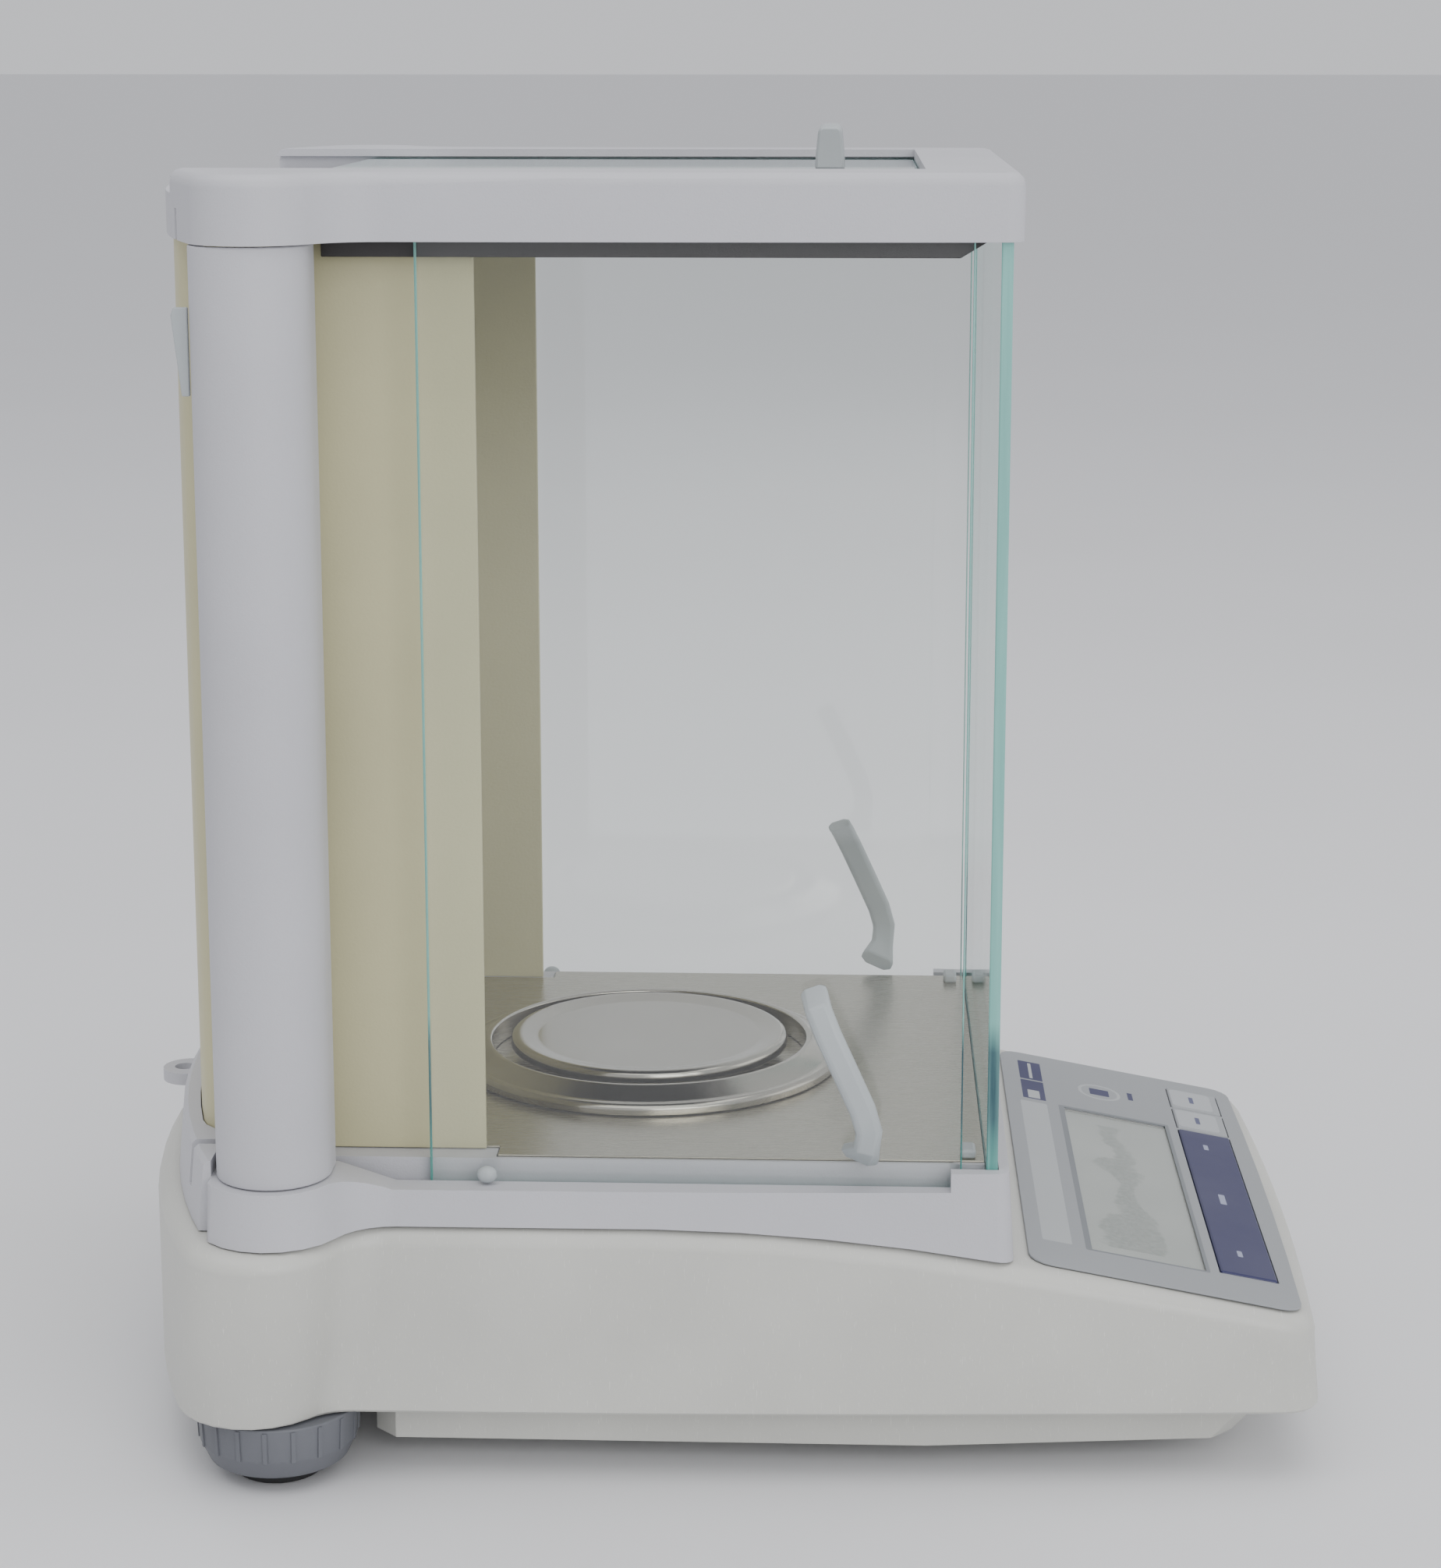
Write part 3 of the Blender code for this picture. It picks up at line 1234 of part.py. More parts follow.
def make_foil(frame, low):
    """Printed foil with rounded corners and a slightly bowed front edge."""
    bow = 0.0012
    corner = PANEL_CORNER_RADIUS
    half = PANEL_HALF
    left = arc((-half + corner, -corner), corner, math.pi / 2, math.pi, 4)
    front_corner = (-half + corner, -PANEL_LENGTH + corner)
    left += arc(front_corner, corner, math.pi, 3 * math.pi / 2, 4)
    steps = 5
    for i in range(1, steps + 1):
        x = (-half + corner) * (1 - i / steps)
        left.append((x, -PANEL_LENGTH - bow * (1 - (x / (half - corner)) ** 2)))
    outline = left + [(-x, y) for x, y in reversed(left[:-1])]
    return prism("keypad_foil", outline, outline, low, low + PANEL_FOIL, "panel_foil", frame)


def main():
    housing = make_base_housing()
    make_tray()
    make_tray_screws()
    make_weigh_below_cover()
    make_skirt()
    make_floor_plate()
    make_chamber_sheet()
    make_guide_frame()
    make_cover()
    make_front_glass()
    for side in (-1, 1):
        make_foot(side)
        make_column(side)
        make_column_clip(side)
        make_glass_clip(side)
        make_side_door(side)
        make_guide_stud(side)
    make_top_door()
    make_pan()
    make_ring()
    make_receiver()
    make_cell()
    make_boards()
    make_level()
    make_panel(housing)
    make_connector("power_inlet", "power_inlet_hole", 0.0550, 0.0070, 0.0065, housing)
    make_connector("data_connector", "data_connector_hole", -0.0100, 0.0160, 0.0068, housing)


main()
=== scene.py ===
# %% [markdown]
# # An analytical balance in its glass draft shield
#
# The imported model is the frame: it holds the bodies, the joints and every size. This lesson
# dresses it. Each CAD solid is either given a better material or replaced by a finer piece
# that rides on the same body.
# %% Load the frame
import json
import math

import bmesh
import bpy
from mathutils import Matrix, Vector

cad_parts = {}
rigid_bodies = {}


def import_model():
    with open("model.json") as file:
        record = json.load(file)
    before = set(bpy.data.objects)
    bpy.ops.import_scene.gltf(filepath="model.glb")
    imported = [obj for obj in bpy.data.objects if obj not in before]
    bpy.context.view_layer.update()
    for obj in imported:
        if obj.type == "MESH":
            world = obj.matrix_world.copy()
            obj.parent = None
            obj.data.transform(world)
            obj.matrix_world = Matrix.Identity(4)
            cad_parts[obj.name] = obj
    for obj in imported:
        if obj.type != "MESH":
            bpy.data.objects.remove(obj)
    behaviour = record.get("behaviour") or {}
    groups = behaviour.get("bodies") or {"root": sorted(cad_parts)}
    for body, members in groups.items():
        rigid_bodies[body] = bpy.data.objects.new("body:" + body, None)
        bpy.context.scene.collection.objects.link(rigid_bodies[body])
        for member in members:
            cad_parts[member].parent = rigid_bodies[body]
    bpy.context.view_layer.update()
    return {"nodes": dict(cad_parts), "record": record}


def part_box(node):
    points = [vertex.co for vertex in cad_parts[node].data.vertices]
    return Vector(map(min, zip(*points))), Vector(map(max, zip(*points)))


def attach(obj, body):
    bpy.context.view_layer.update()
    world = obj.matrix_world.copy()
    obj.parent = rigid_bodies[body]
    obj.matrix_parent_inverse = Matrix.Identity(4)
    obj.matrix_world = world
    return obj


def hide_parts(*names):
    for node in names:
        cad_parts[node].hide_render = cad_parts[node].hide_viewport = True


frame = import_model()
NODES = frame["nodes"]
BODY_OF = {n: body for body, nodes in frame["record"]["behaviour"]["bodies"].items() for n in nodes}
SLOT_OF = {part["node"]: part["material_slot"] for part in frame["record"]["subparts"]}
# %% [markdown]
# ## The camera
#
# A long lens looks at the left side from a little above, almost square on. The small vertical
# shift keeps the columns upright in the picture.
# %% Camera
CAMERA_PLACE = Vector((-0.9091, -0.0328, 0.3748))
CAMERA_DOWN = math.radians(11.48)
CAMERA_YAW = math.radians(2.27)
level_part = math.cos(CAMERA_DOWN)
forward = Vector((
    level_part * math.cos(CAMERA_YAW),
    level_part * math.sin(CAMERA_YAW),
    -math.sin(CAMERA_DOWN),
))
lens = bpy.data.cameras.new("camera")
lens.lens = 75.11
lens.sensor_width = 36.0
lens.shift_y = -0.0486
camera = bpy.data.objects.new("camera", lens)
camera.location = CAMERA_PLACE
camera.rotation_euler = forward.to_track_quat("-Z", "Y").to_euler()
bpy.context.scene.collection.objects.link(camera)
bpy.context.scene.camera = camera
print("camera at", [round(v, 3) for v in CAMERA_PLACE])
# %% [markdown]
# ## Small helpers for node trees
#
# `add` makes one node. A value goes straight on its socket, and a socket is linked instead.
# `srgb` turns a screen colour into the linear numbers that a material takes.
# %% Helpers for nodes


def srgb(red, green, blue):
    def linear(value):
        value /= 255
        return value / 12.92 if value <= 0.04045 else ((value + 0.055) / 1.055) ** 2.4

    return (linear(red), linear(green), linear(blue), 1.0)


def add(tree, kind, values=None, **settings):
    made = tree.nodes.new(kind)
    for name, value in settings.items():
        setattr(made, name, value)
    for key, value in (values or {}).items():
        socket = made.inputs[key]
        if isinstance(value, bpy.types.NodeSocket):
            tree.links.new(value, socket)
        else:
            socket.default_value = value
    return made


def math_node(tree, operation, *values, clamp=False):
    made = add(tree, "ShaderNodeMath", dict(enumerate(values)), operation=operation)
    made.use_clamp = clamp
    return made.outputs[0]


def mix_colour(tree, factor, first, second, blend="MIX"):
    made = add(tree, "ShaderNodeMix", data_type="RGBA", blend_type=blend)
    for index, value in ((0, factor), (6, first), (7, second)):
        if isinstance(value, bpy.types.NodeSocket):
            tree.links.new(value, made.inputs[index])
        else:
            made.inputs[index].default_value = value
    return made.outputs[2]


def ramp(tree, value, low, high, start=0.0, end=1.0):
    made = add(tree, "ShaderNodeMapRange", {"Value": value, "From Min": low, "From Max": high})
    made.inputs["To Min"].default_value = start
    made.inputs["To Max"].default_value = end
    return made.outputs["Result"]


def noise(tree, vector, scale, detail):
    values = {"Vector": vector, "Scale": scale, "Detail": detail}
    return add(tree, "ShaderNodeTexNoise", values).outputs[0]


def raise_normal(tree, shader, height, strength, distance):
    values = {"Height": height, "Strength": strength, "Distance": distance}
    rise = add(tree, "ShaderNodeBump", values)
    tree.links.new(rise.outputs[0], shader.inputs["Normal"])


def scaled(colour, share, lift=0.0):
    return [min(1.0, value * share + lift) for value in colour[:3]] + [1.0]


def new_group(name, inputs, outputs):
    tree = bpy.data.node_groups.new(name, "ShaderNodeTree")
    for label, kind, value in inputs:
        socket = tree.interface.new_socket(name=label, in_out="INPUT", socket_type=kind)
        if value is not None:
            socket.default_value = value
    for label, kind in outputs:
        tree.interface.new_socket(name=label, in_out="OUTPUT", socket_type=kind)
    return tree, add(tree, "NodeGroupInput").outputs, add(tree, "NodeGroupOutput").inputs


print("helpers ready, mid grey is", round(srgb(128, 128, 128)[0], 3))
# %% [markdown]
# ## Effects that many surfaces share
#
# Four shader groups give only values and masks. *Moulded texture* is the fine grain of plastic
# and paint, *soft patches* the slow change in tone of a handled surface, *scratches* a few fine
# lines, and *box mask* a rectangle printed on a panel. The Principled shader stays in each
# material.
# %% Shader groups
FLOAT, VECTOR = "NodeSocketFloat", "NodeSocketVector"
moulded, source, sink = new_group(
    "moulded texture",
    [("Vector", VECTOR, None), ("Grain per metre", FLOAT, 1800.0)],
    [("Height", FLOAT)],
)
grit = noise(moulded, source[0], source[1], 2.0)
cells = add(moulded, "ShaderNodeTexVoronoi", {"Vector": source[0], "Scale": source[1]})
height = math_node(moulded, "MULTIPLY_ADD", cells.outputs["Distance"], 0.5, grit)
moulded.links.new(height, sink[0])

patches, source, sink = new_group(
    "soft patches",
    [("Vector", VECTOR, None), ("Patches per metre", FLOAT, 18.0)],
    [("Mask", FLOAT)],
)
broad = noise(patches, source[0], source[1], 5.0)
patches.links.new(ramp(patches, broad, 0.30, 0.70), sink[0])

scratches, source, sink = new_group(
    "scratches",
    [("Vector", VECTOR, None), ("Density", FLOAT, 0.5)],
    [("Mask", FLOAT)],
)
masks = []
for turn in (0.35, -0.9):
    turned = add(scratches, "ShaderNodeMapping", {"Vector": source[0]})
    turned.inputs["Rotation"].default_value = (turn, turn * 0.7, turn)
    turned.inputs["Scale"].default_value = (30.0, 900.0, 60.0)
    lines = add(scratches, "ShaderNodeTexNoise", {"Vector": turned.outputs[0], "Detail": 1.0})
    masks.append(ramp(scratches, lines.outputs[0], 0.735, 0.76))
both = math_node(scratches, "MAXIMUM", *masks)
scratches.links.new(math_node(scratches, "MULTIPLY", both, source[1]), sink[0])

box_mask, source, sink = new_group(
    "box mask",
    [("Vector", VECTOR, None)]
    + [(label, FLOAT, 0.0) for label in ("Left", "Right", "Front", "Rear")]
    + [("Corner", FLOAT, 0.0005)],
    [("Mask", FLOAT)],
)
place = add(box_mask, "ShaderNodeSeparateXYZ", {0: source[0]})
gaps = []
for axis, low, high in ((0, 1, 2), (1, 3, 4)):
    both = math_node(box_mask, "ADD", source[low], source[high])
    span = math_node(box_mask, "SUBTRACT", source[high], source[low])
    middle = math_node(box_mask, "MULTIPLY", both, 0.5)
    half = math_node(box_mask, "MULTIPLY", span, 0.5)
    offset = math_node(box_mask, "SUBTRACT", place.outputs[axis], middle)
    away = math_node(box_mask, "ABSOLUTE", offset)
    inner = math_node(box_mask, "SUBTRACT", half, source[5])
    gap = math_node(box_mask, "SUBTRACT", away, inner)
    gaps.append(math_node(box_mask, "MAXIMUM", gap, 0.0))
squares = [math_node(box_mask, "MULTIPLY", gap, gap) for gap in gaps]
reach = math_node(box_mask, "SQRT", math_node(box_mask, "ADD", *squares))
left_over = math_node(box_mask, "SUBTRACT", source[5], reach)
box_mask.links.new(ramp(box_mask, left_over, -0.00005, 0.00005), sink[0])
GROUPS = [moulded, patches, scratches, box_mask]
print([group.name for group in GROUPS])
# %% [markdown]
# ## Materials
#
# `surface` builds a finished material: a base colour with slow patches, a grain that bumps the
# normal, a roughness that follows the patches, and scratches where the real thing has them.
# %% The surface recipe


def use_group(tree, group, vector, **values):
    made = add(tree, "ShaderNodeGroup")
    made.node_tree = group
    tree.links.new(vector, made.inputs["Vector"])
    for name, value in values.items():
        made.inputs[name.replace("_", " ")].default_value = value
    return made.outputs[0]


def start_material(name):
    material = bpy.data.materials.new(name)
    material.use_nodes = True
    tree = material.node_tree
    tree.nodes.clear()
    shader = add(tree, "ShaderNodeBsdfPrincipled")
    add(tree, "ShaderNodeOutputMaterial", {"Surface": shader.outputs[0]})
    place = add(tree, "ShaderNodeTexCoord").outputs["Object"]
    return material, tree, shader, place


def surface(name, colour, rough=0.5, metal=0.0, grain=1800.0, bump=0.15, tone=0.06, wear=0.0,
            patch=18.0, coat=0.0):
    material, tree, shader, place = start_material(name)
    mask = use_group(tree, patches, place, Patches_per_metre=patch)
    shade = mix_colour(tree, mask, scaled(colour, 1 - tone), scaled(colour, 1 + tone))
    if wear:
        lines = use_group(tree, scratches, place, Density=wear)
        shade = mix_colour(tree, lines, shade, scaled(colour, 1.6, 0.05))
    tree.links.new(shade, shader.inputs["Base Color"])
    value = ramp(tree, mask, 0.0, 1.0, rough - 0.06, rough + 0.06)
    tree.links.new(value, shader.inputs["Roughness"])
    shader.inputs["Metallic"].default_value = metal
    shader.inputs["Coat Weight"].default_value = coat
    height = use_group(tree, moulded, place, Grain_per_metre=grain)
    raise_normal(tree, shader, height, bump, 0.0002)
    return material


FINISH = {
    "shield_plastic": surface("shield_plastic", srgb(186, 186, 191), 0.55, bump=0.25, tone=0.035),
    "housing_paint": surface(
        "housing_paint", srgb(194, 194, 188), 0.42, grain=900, bump=0.16, wear=0.35,
    ),
    "sheet_paint": surface(
        "sheet_paint", srgb(190, 185, 148), 0.48, grain=1200, bump=0.2, tone=0.05,
    ),
    "black_plastic": surface("black_plastic", srgb(45, 42, 42), 0.42, tone=0.15),
    "foot_plastic": surface("foot_plastic", srgb(100, 102, 108), 0.5, tone=0.08),
    "handle_plastic": surface("handle_plastic", srgb(168, 174, 176), 0.42, grain=1400, bump=0.1),
    "aluminium": surface("aluminium", srgb(198, 198, 200), 0.34, 1.0, bump=0.1),
    "copper": surface("copper", srgb(190, 120, 80), 0.35, 1.0, grain=2500, bump=0.4),
    "magnet_steel": surface("magnet_steel", srgb(130, 130, 134), 0.4, 1.0),
    "brass": surface("brass", srgb(196, 164, 96), 0.3, 1.0, tone=0.12),
    "rubber": surface("rubber", srgb(42, 42, 44), 0.8, bump=0.5, tone=0.2),
    "zinc_screw": surface("zinc_screw", srgb(190, 190, 188), 0.28, 1.0, bump=0.05),
    "circuit_board": surface("circuit_board", srgb(30, 92, 58), 0.4, grain=700, bump=0.3, coat=0.3),
}
print(len(FINISH), "surface materials")
# %% [markdown]
# ### Brushed and spun steel
#
# The pan and the ring are spun, so their fine lines are circles about the pan's centre. The
# floor plate is brushed along the depth of the chamber.
# %% Steel
pan_low, pan_high = (Vector(corner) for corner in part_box("weighing_pan"))
PAN_CENTRE = (pan_low + pan_high) / 2
PAN_RADIUS = (pan_high.x - pan_low.x) / 2
PAN_TOP = pan_high.z


def spun_steel(name, colour, rough, strength):
    material, tree, shader, place = start_material(name)
    axis = (0.0, PAN_CENTRE.y, 0.0)
    moved = add(tree, "ShaderNodeVectorMath", {0: place, 1: axis}, operation="SUBTRACT")
    parts = add(tree, "ShaderNodeSeparateXYZ", {0: moved.outputs[0]})
    flat = add(tree, "ShaderNodeCombineXYZ", {0: parts.outputs[0], 1: parts.outputs[1]})
    reach = add(tree, "ShaderNodeVectorMath", {0: flat.outputs[0]}, operation="LENGTH")
    where = add(tree, "ShaderNodeCombineXYZ", {0: reach.outputs["Value"], 1: parts.outputs[2]})
    lines = noise(tree, where.outputs[0], 5200.0, 3.0)
    mask = use_group(tree, patches, place, Patches_per_metre=35.0)
    shade = mix_colour(tree, mask, scaled(colour, 0.94), colour)
    tree.links.new(shade, shader.inputs["Base Color"])
    shader.inputs["Metallic"].default_value = 1.0
    value = math_node(tree, "MULTIPLY_ADD", lines, 0.16, rough - 0.08)
    tree.links.new(value, shader.inputs["Roughness"])
    raise_normal(tree, shader, lines, strength, 0.0001)
    return material


def brushed_steel(name, colour, rough):
    material, tree, shader, place = start_material(name)
    drawn = add(tree, "ShaderNodeMapping", {"Vector": place})
    drawn.inputs["Scale"].default_value = (4200.0, 25.0, 4200.0)
    lines = noise(tree, drawn.outputs[0], 1.0, 3.0)
    shade = mix_colour(tree, lines, scaled(colour, 0.92), colour)
    tree.links.new(shade, shader.inputs["Base Color"])
    shader.inputs["Metallic"].default_value = 0.9
    value = ramp(tree, lines, 0.2, 0.8, rough - 0.06, rough + 0.08)
    tree.links.new(value, shader.inputs["Roughness"])
    raise_normal(tree, shader, lines, 0.05, 0.0001)
    return material


FINISH["polished_steel"] = spun_steel("polished_steel", srgb(178, 174, 165), 0.18, 0.04)
FINISH["satin_steel"] = brushed_steel("satin_steel", srgb(176, 172, 158), 0.24)
print("pan radius in mm:", round(PAN_RADIUS * 1000, 1))
# %% [markdown]
# ### Glass
#
# A thin pane seen face on is nearly clear, so its faces mix a transparent shader with a mirror
# by Fresnel. The index is turned over on back faces: rays pass the sheet unbent, and without
# this the inner face would mirror them all at a flat angle and go black. All the green of the
# glass shows in its ground edges, which carry painted shade: they are darker low down.
# %% Glass materials


def pane_face(name, tint):
    material = bpy.data.materials.new(name)
    material.use_nodes = True
    tree = material.node_tree
    tree.nodes.clear()
    clear = add(tree, "ShaderNodeBsdfTransparent", {"Color": tint})
    place = add(tree, "ShaderNodeTexCoord").outputs["Object"]
    smear = use_group(tree, patches, place, Patches_per_metre=26.0)
    mirror = add(tree, "ShaderNodeBsdfGlossy", {"Color": (1.0, 1.0, 1.0, 1.0)})
    tree.links.new(ramp(tree, smear, 0.0, 1.0, 0.015, 0.05), mirror.inputs["Roughness"])
    back = add(tree, "ShaderNodeNewGeometry").outputs["Backfacing"]
    facing = add(tree, "ShaderNodeFresnel", {"IOR": ramp(tree, back, 0.0, 1.0, 1.5, 1 / 1.5)})
    mixed = add(tree, "ShaderNodeMixShader", {
        0: facing.outputs[0], 1: clear.outputs[0], 2: mirror.outputs[0],
    })
    add(tree, "ShaderNodeOutputMaterial", {"Surface": mixed.outputs[0]})
    return material


def pane_edge(name):
    material, tree, shader, place = start_material(name)
    parts = add(tree, "ShaderNodeSeparateXYZ", {0: place})
    # Painted shade: the edge darkens below z 0.126 m, is darkest from 0.118 m to 0.100 m, and grows
    # a little lighter again down to 0.084 m.
    low = ramp(tree, parts.outputs[2], 0.118, 0.126)
    foot = ramp(tree, parts.outputs[2], 0.100, 0.084)
    low_edge_shade = mix_colour(tree, foot, srgb(35, 75, 85), srgb(70, 150, 140))
    streak = add(tree, "ShaderNodeMapping", {"Vector": place})
    streak.inputs["Scale"].default_value = (400.0, 400.0, 18.0)
    lines = noise(tree, streak.outputs[0], 1.0, 3.0)
    edge_with_low_shade = mix_colour(tree, low, low_edge_shade, srgb(118, 176, 168))
    pale = ramp(tree, lines, 0.35, 0.75, 0.0, 0.5)
    shade = mix_colour(tree, pale, edge_with_low_shade, srgb(150, 204, 196))
    tree.links.new(shade, shader.inputs["Base Color"])
    shader.inputs["Roughness"].default_value = 0.22
    raise_normal(tree, shader, lines, 0.2, 0.0002)
    return material


GLASS_FACE = pane_face("pane_face", (0.985, 0.993, 0.988, 1.0))
GLASS_EDGE = pane_edge("pane_edge")
FINISH["clear_glass"] = GLASS_FACE
print("glass materials:", GLASS_FACE.name, GLASS_EDGE.name)
# %% [markdown]
# ## Finer copies of the CAD shapes
#
# A CAD node comes as loose triangles. `refined` copies it, merges the points, joins the flat
# triangles, and rounds each hard edge a little, because a real moulding has no sharp edge.
# The weighted normals keep the large flat faces flat. `keep` puts a piece on its body.
# %% Refining tools
MERGE_DISTANCE = 2e-6  # CAD triangles that share a point are nearer than this
FLAT_ANGLE = math.radians(0.4)  # faces this even become one
SHARP_ANGLE = math.radians(32)  # edges sharper than this are rounded


def settle(piece):
    """Bakes the modifiers of a piece into a plain mesh."""
    graph = bpy.context.evaluated_depsgraph_get()
    baked = bpy.data.meshes.new_from_object(piece.evaluated_get(graph), depsgraph=graph)
    piece.modifiers.clear()
    piece.data = baked
    return piece


def link_piece(name, mesh, *materials):
    piece = bpy.data.objects.new(name, mesh)
    bpy.context.scene.collection.objects.link(piece)
    for material in materials:
        mesh.materials.append(material)
    return piece


def keep(piece, node):
    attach(piece, BODY_OF[node])
    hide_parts(node)
    return piece


def refined(node, round_by, material=None):
    bm = bmesh.new()
    bm.from_mesh(NODES[node].data)
    bmesh.ops.remove_doubles(bm, verts=bm.verts, dist=MERGE_DISTANCE)
    bmesh.ops.dissolve_limit(bm, angle_limit=FLAT_ANGLE, verts=bm.verts, edges=bm.edges)
    bmesh.ops.recalc_face_normals(bm, faces=bm.faces)
    for face in bm.faces:
        face.smooth = True
    for edge in bm.edges:
        edge.smooth = edge.is_manifold and edge.calc_face_angle(0.0) < SHARP_ANGLE
    mesh = bpy.data.meshes.new("fine_" + node)
    bm.to_mesh(mesh)
    bm.free()
    piece = link_piece("fine_" + node, mesh, material or FINISH[SLOT_OF[node]])
    rounding = piece.modifiers.new("rounding", "BEVEL")
    rounding.width = round_by
    rounding.segments = 2
    rounding.limit_method = "ANGLE"
    rounding.angle_limit = SHARP_ANGLE
    rounding.use_clamp_overlap = True
    rounding.miter_outer = "MITER_ARC"
    even = piece.modifiers.new("even", "WEIGHTED_NORMAL")
    even.keep_sharp = True
    settle(piece)
    return keep(piece, node)


# %% [markdown]
# The large mouldings and the sheet metal are refined first. The floor sheet reaches forward to
# the front pane, as it does on the real balance.
# %% Refine the mouldings
ROUND_BY = {
    "base_housing": 0.0006,
    "bottom_tray": 0.0005,
    "draft_shield_skirt": 0.0005,
    "top_cover": 0.0008,
    "left_column": 0.0004,
    "right_column": 0.0004,
    "chamber_sheet": 0.0003,
    "guide_frame": 0.0003,
    "floor_plate": 0.0002,
    "top_door_handle": 0.0010,
    "level_holder": 0.0003,
    "weigh_below_cover": 0.0004,
}
FINE = {node: refined(node, size) for node, size in ROUND_BY.items()}
for side in ("left", "right"):
    for part, size in (("door_handle", 0.0005), ("column_clip", 0.0003), ("glass_clip", 0.0003),
                       ("guide_stud", 0.0002), ("front_foot", 0.0006), ("foot_pad", 0.0006)):
        FINE[side + "_" + part] = refined(side + "_" + part, size)
front_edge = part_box("floor_plate")[0][1]
to_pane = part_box("front_glass")[1][1] + 0.0003 - front_edge
for vert in FINE["floor_plate"].data.vertices:
    if vert.co.y < front_edge + 0.001:
        vert.co.y += to_pane
print("floor sheet drawn out to the front pane by mm:", round(to_pane * 1000, 1))
print(len(FINE), "pieces,", sum(len(p.data.polygons) for p in FINE.values()), "faces")
# %% [markdown]
# ## Panes
#
# Each pane is rebuilt as a sheet with ground edges: its two large faces take the clear
# material, and the thin faces and their small chamfers the green one.
# %% Panes
PANE_CHAMFER = 0.0003


def pane(node):
    low, high = (Vector(corner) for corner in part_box(node))
    size, middle = high - low, (low + high) / 2
    thin = min(range(3), key=lambda i: size[i])
    bm = bmesh.new()
    bmesh.ops.create_cube(bm, size=1.0)
    for vert in bm.verts:
        vert.co = Vector(vert.co[i] * size[i] + middle[i] for i in range(3))
    bmesh.ops.bevel(bm, geom=list(bm.edges), offset=PANE_CHAMFER, segments=1, affect="EDGES")
    bmesh.ops.recalc_face_normals(bm, faces=bm.faces)
    for face in bm.faces:
        face.material_index = 0 if abs(face.normal[thin]) > 0.99 else 1
    mesh = bpy.data.meshes.new("pane_" + node)
    bm.to_mesh(mesh)
    bm.free()
    return keep(link_piece("pane_" + node, mesh, GLASS_FACE, GLASS_EDGE), node)


PANES = [pane(n) for n in ("front_glass", "left_door_glass", "right_door_glass", "top_door_glass")]
print("panes:", [p.name for p in PANES])
# %% [markdown]
# ## The pan and the draft ring
#
# Both are spun sheet, so each is a fine profile turned about the pan's axis.
# %% Turned pieces


def turned_piece(name, profile, centre, material, steps=160):
    bm = bmesh.new()
    verts = [bm.verts.new((r, 0.0, z)) for r, z in profile]
    edges = [bm.edges.new(pair) for pair in zip(verts, verts[1:])]
    if profile[0][0] > 1e-6 or profile[-1][0] > 1e-6:
        edges.append(bm.edges.new((verts[-1], verts[0])))
    bmesh.ops.spin(
        bm, geom=verts + edges, axis=(0, 0, 1), cent=(0, 0, 0), steps=steps,
        angle=2 * math.pi, use_merge=True,
    )
    bmesh.ops.remove_doubles(bm, verts=bm.verts, dist=1e-6)
    bmesh.ops.recalc_face_normals(bm, faces=bm.faces)
    bmesh.ops.translate(bm, verts=bm.verts, vec=(centre[0], centre[1], 0.0))
    for face in bm.faces:
        face.smooth = True
    for edge in bm.edges:
        edge.smooth = edge.calc_face_angle(0.0) < math.radians(40)
    mesh = bpy.data.meshes.new(name)
    bm.to_mesh(mesh)
    bm.free()
    return link_piece(name, mesh, material)


def rounded(points, radius, steps=4):
    """The same line with each inner corner rounded."""
    out = [points[0]]
    for before, here, after in zip(points, points[1:], points[2:]):
        a, b, c = Vector(before), Vector(here), Vector(after)
        cut = min(radius, (a - b).length * 0.45, (c - b).length * 0.45)
        start, end = b + (a - b).normalized() * cut, b + (c - b).normalized() * cut
        for i in range(steps + 1):
            t = i / steps
            out.append(tuple(start * (1 - t) ** 2 + b * 2 * t * (1 - t) + end * t**2))
    return out + [points[-1]]


R, T = PAN_RADIUS, PAN_TOP
pan_profile = rounded([
    (0.0, T - 0.0011), (R - 0.0075, T - 0.0011), (R - 0.0032, T - 0.0002), (R - 0.0016, T),
    (R - 0.0003, T - 0.0008), (R, T - 0.0018), (R, T - 0.0035), (R - 0.0009, T - 0.0035),
    (R - 0.0009, T - 0.0020), (R - 0.0036, T - 0.0012), (R - 0.0076, T - 0.0021),
    (0.0060, T - 0.0021), (0.0060, T - 0.0062), (0.0, T - 0.0062),
], 0.0006)
SPUN = FINISH["polished_steel"]
pan = keep(turned_piece("spun_pan", pan_profile, PAN_CENTRE, SPUN), "weighing_pan")
low, high = (Vector(corner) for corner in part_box("draft_ring"))
R, T, B = (high.x - low.x) / 2, high.z, low.z
INNER = R - 0.0099
ring_profile = rounded([
    (INNER, B), (INNER, T - 0.0003), (INNER + 0.0014, T), (R - 0.0024, T - 0.0032),
    (R - 0.0010, T - 0.0034), (R, T - 0.0044), (R, B), (R - 0.0008, B), (R - 0.0008, T - 0.0050),
    (R - 0.0030, T - 0.0044), (INNER + 0.0018, T - 0.0011), (INNER + 0.0009, B),
], 0.0005)
ring = keep(turned_piece("spun_ring", ring_profile, PAN_CENTRE, SPUN), "draft_ring")
print("pan faces", len(pan.data.polygons), "ring faces", len(ring.data.polygons))
# %% [markdown]
# ## Levelling wheels
#
# A Geometry Nodes tree stands ribs round a drum. Its inputs are named, so the same tree makes
# any knurled knob. The result is baked to a plain mesh.
# %% A tree for ribbed knobs


def new_input(tree, label, kind, value):
    socket = tree.interface.new_socket(name=label, in_out="INPUT", socket_type=kind)
    socket.default_value = value
    return socket


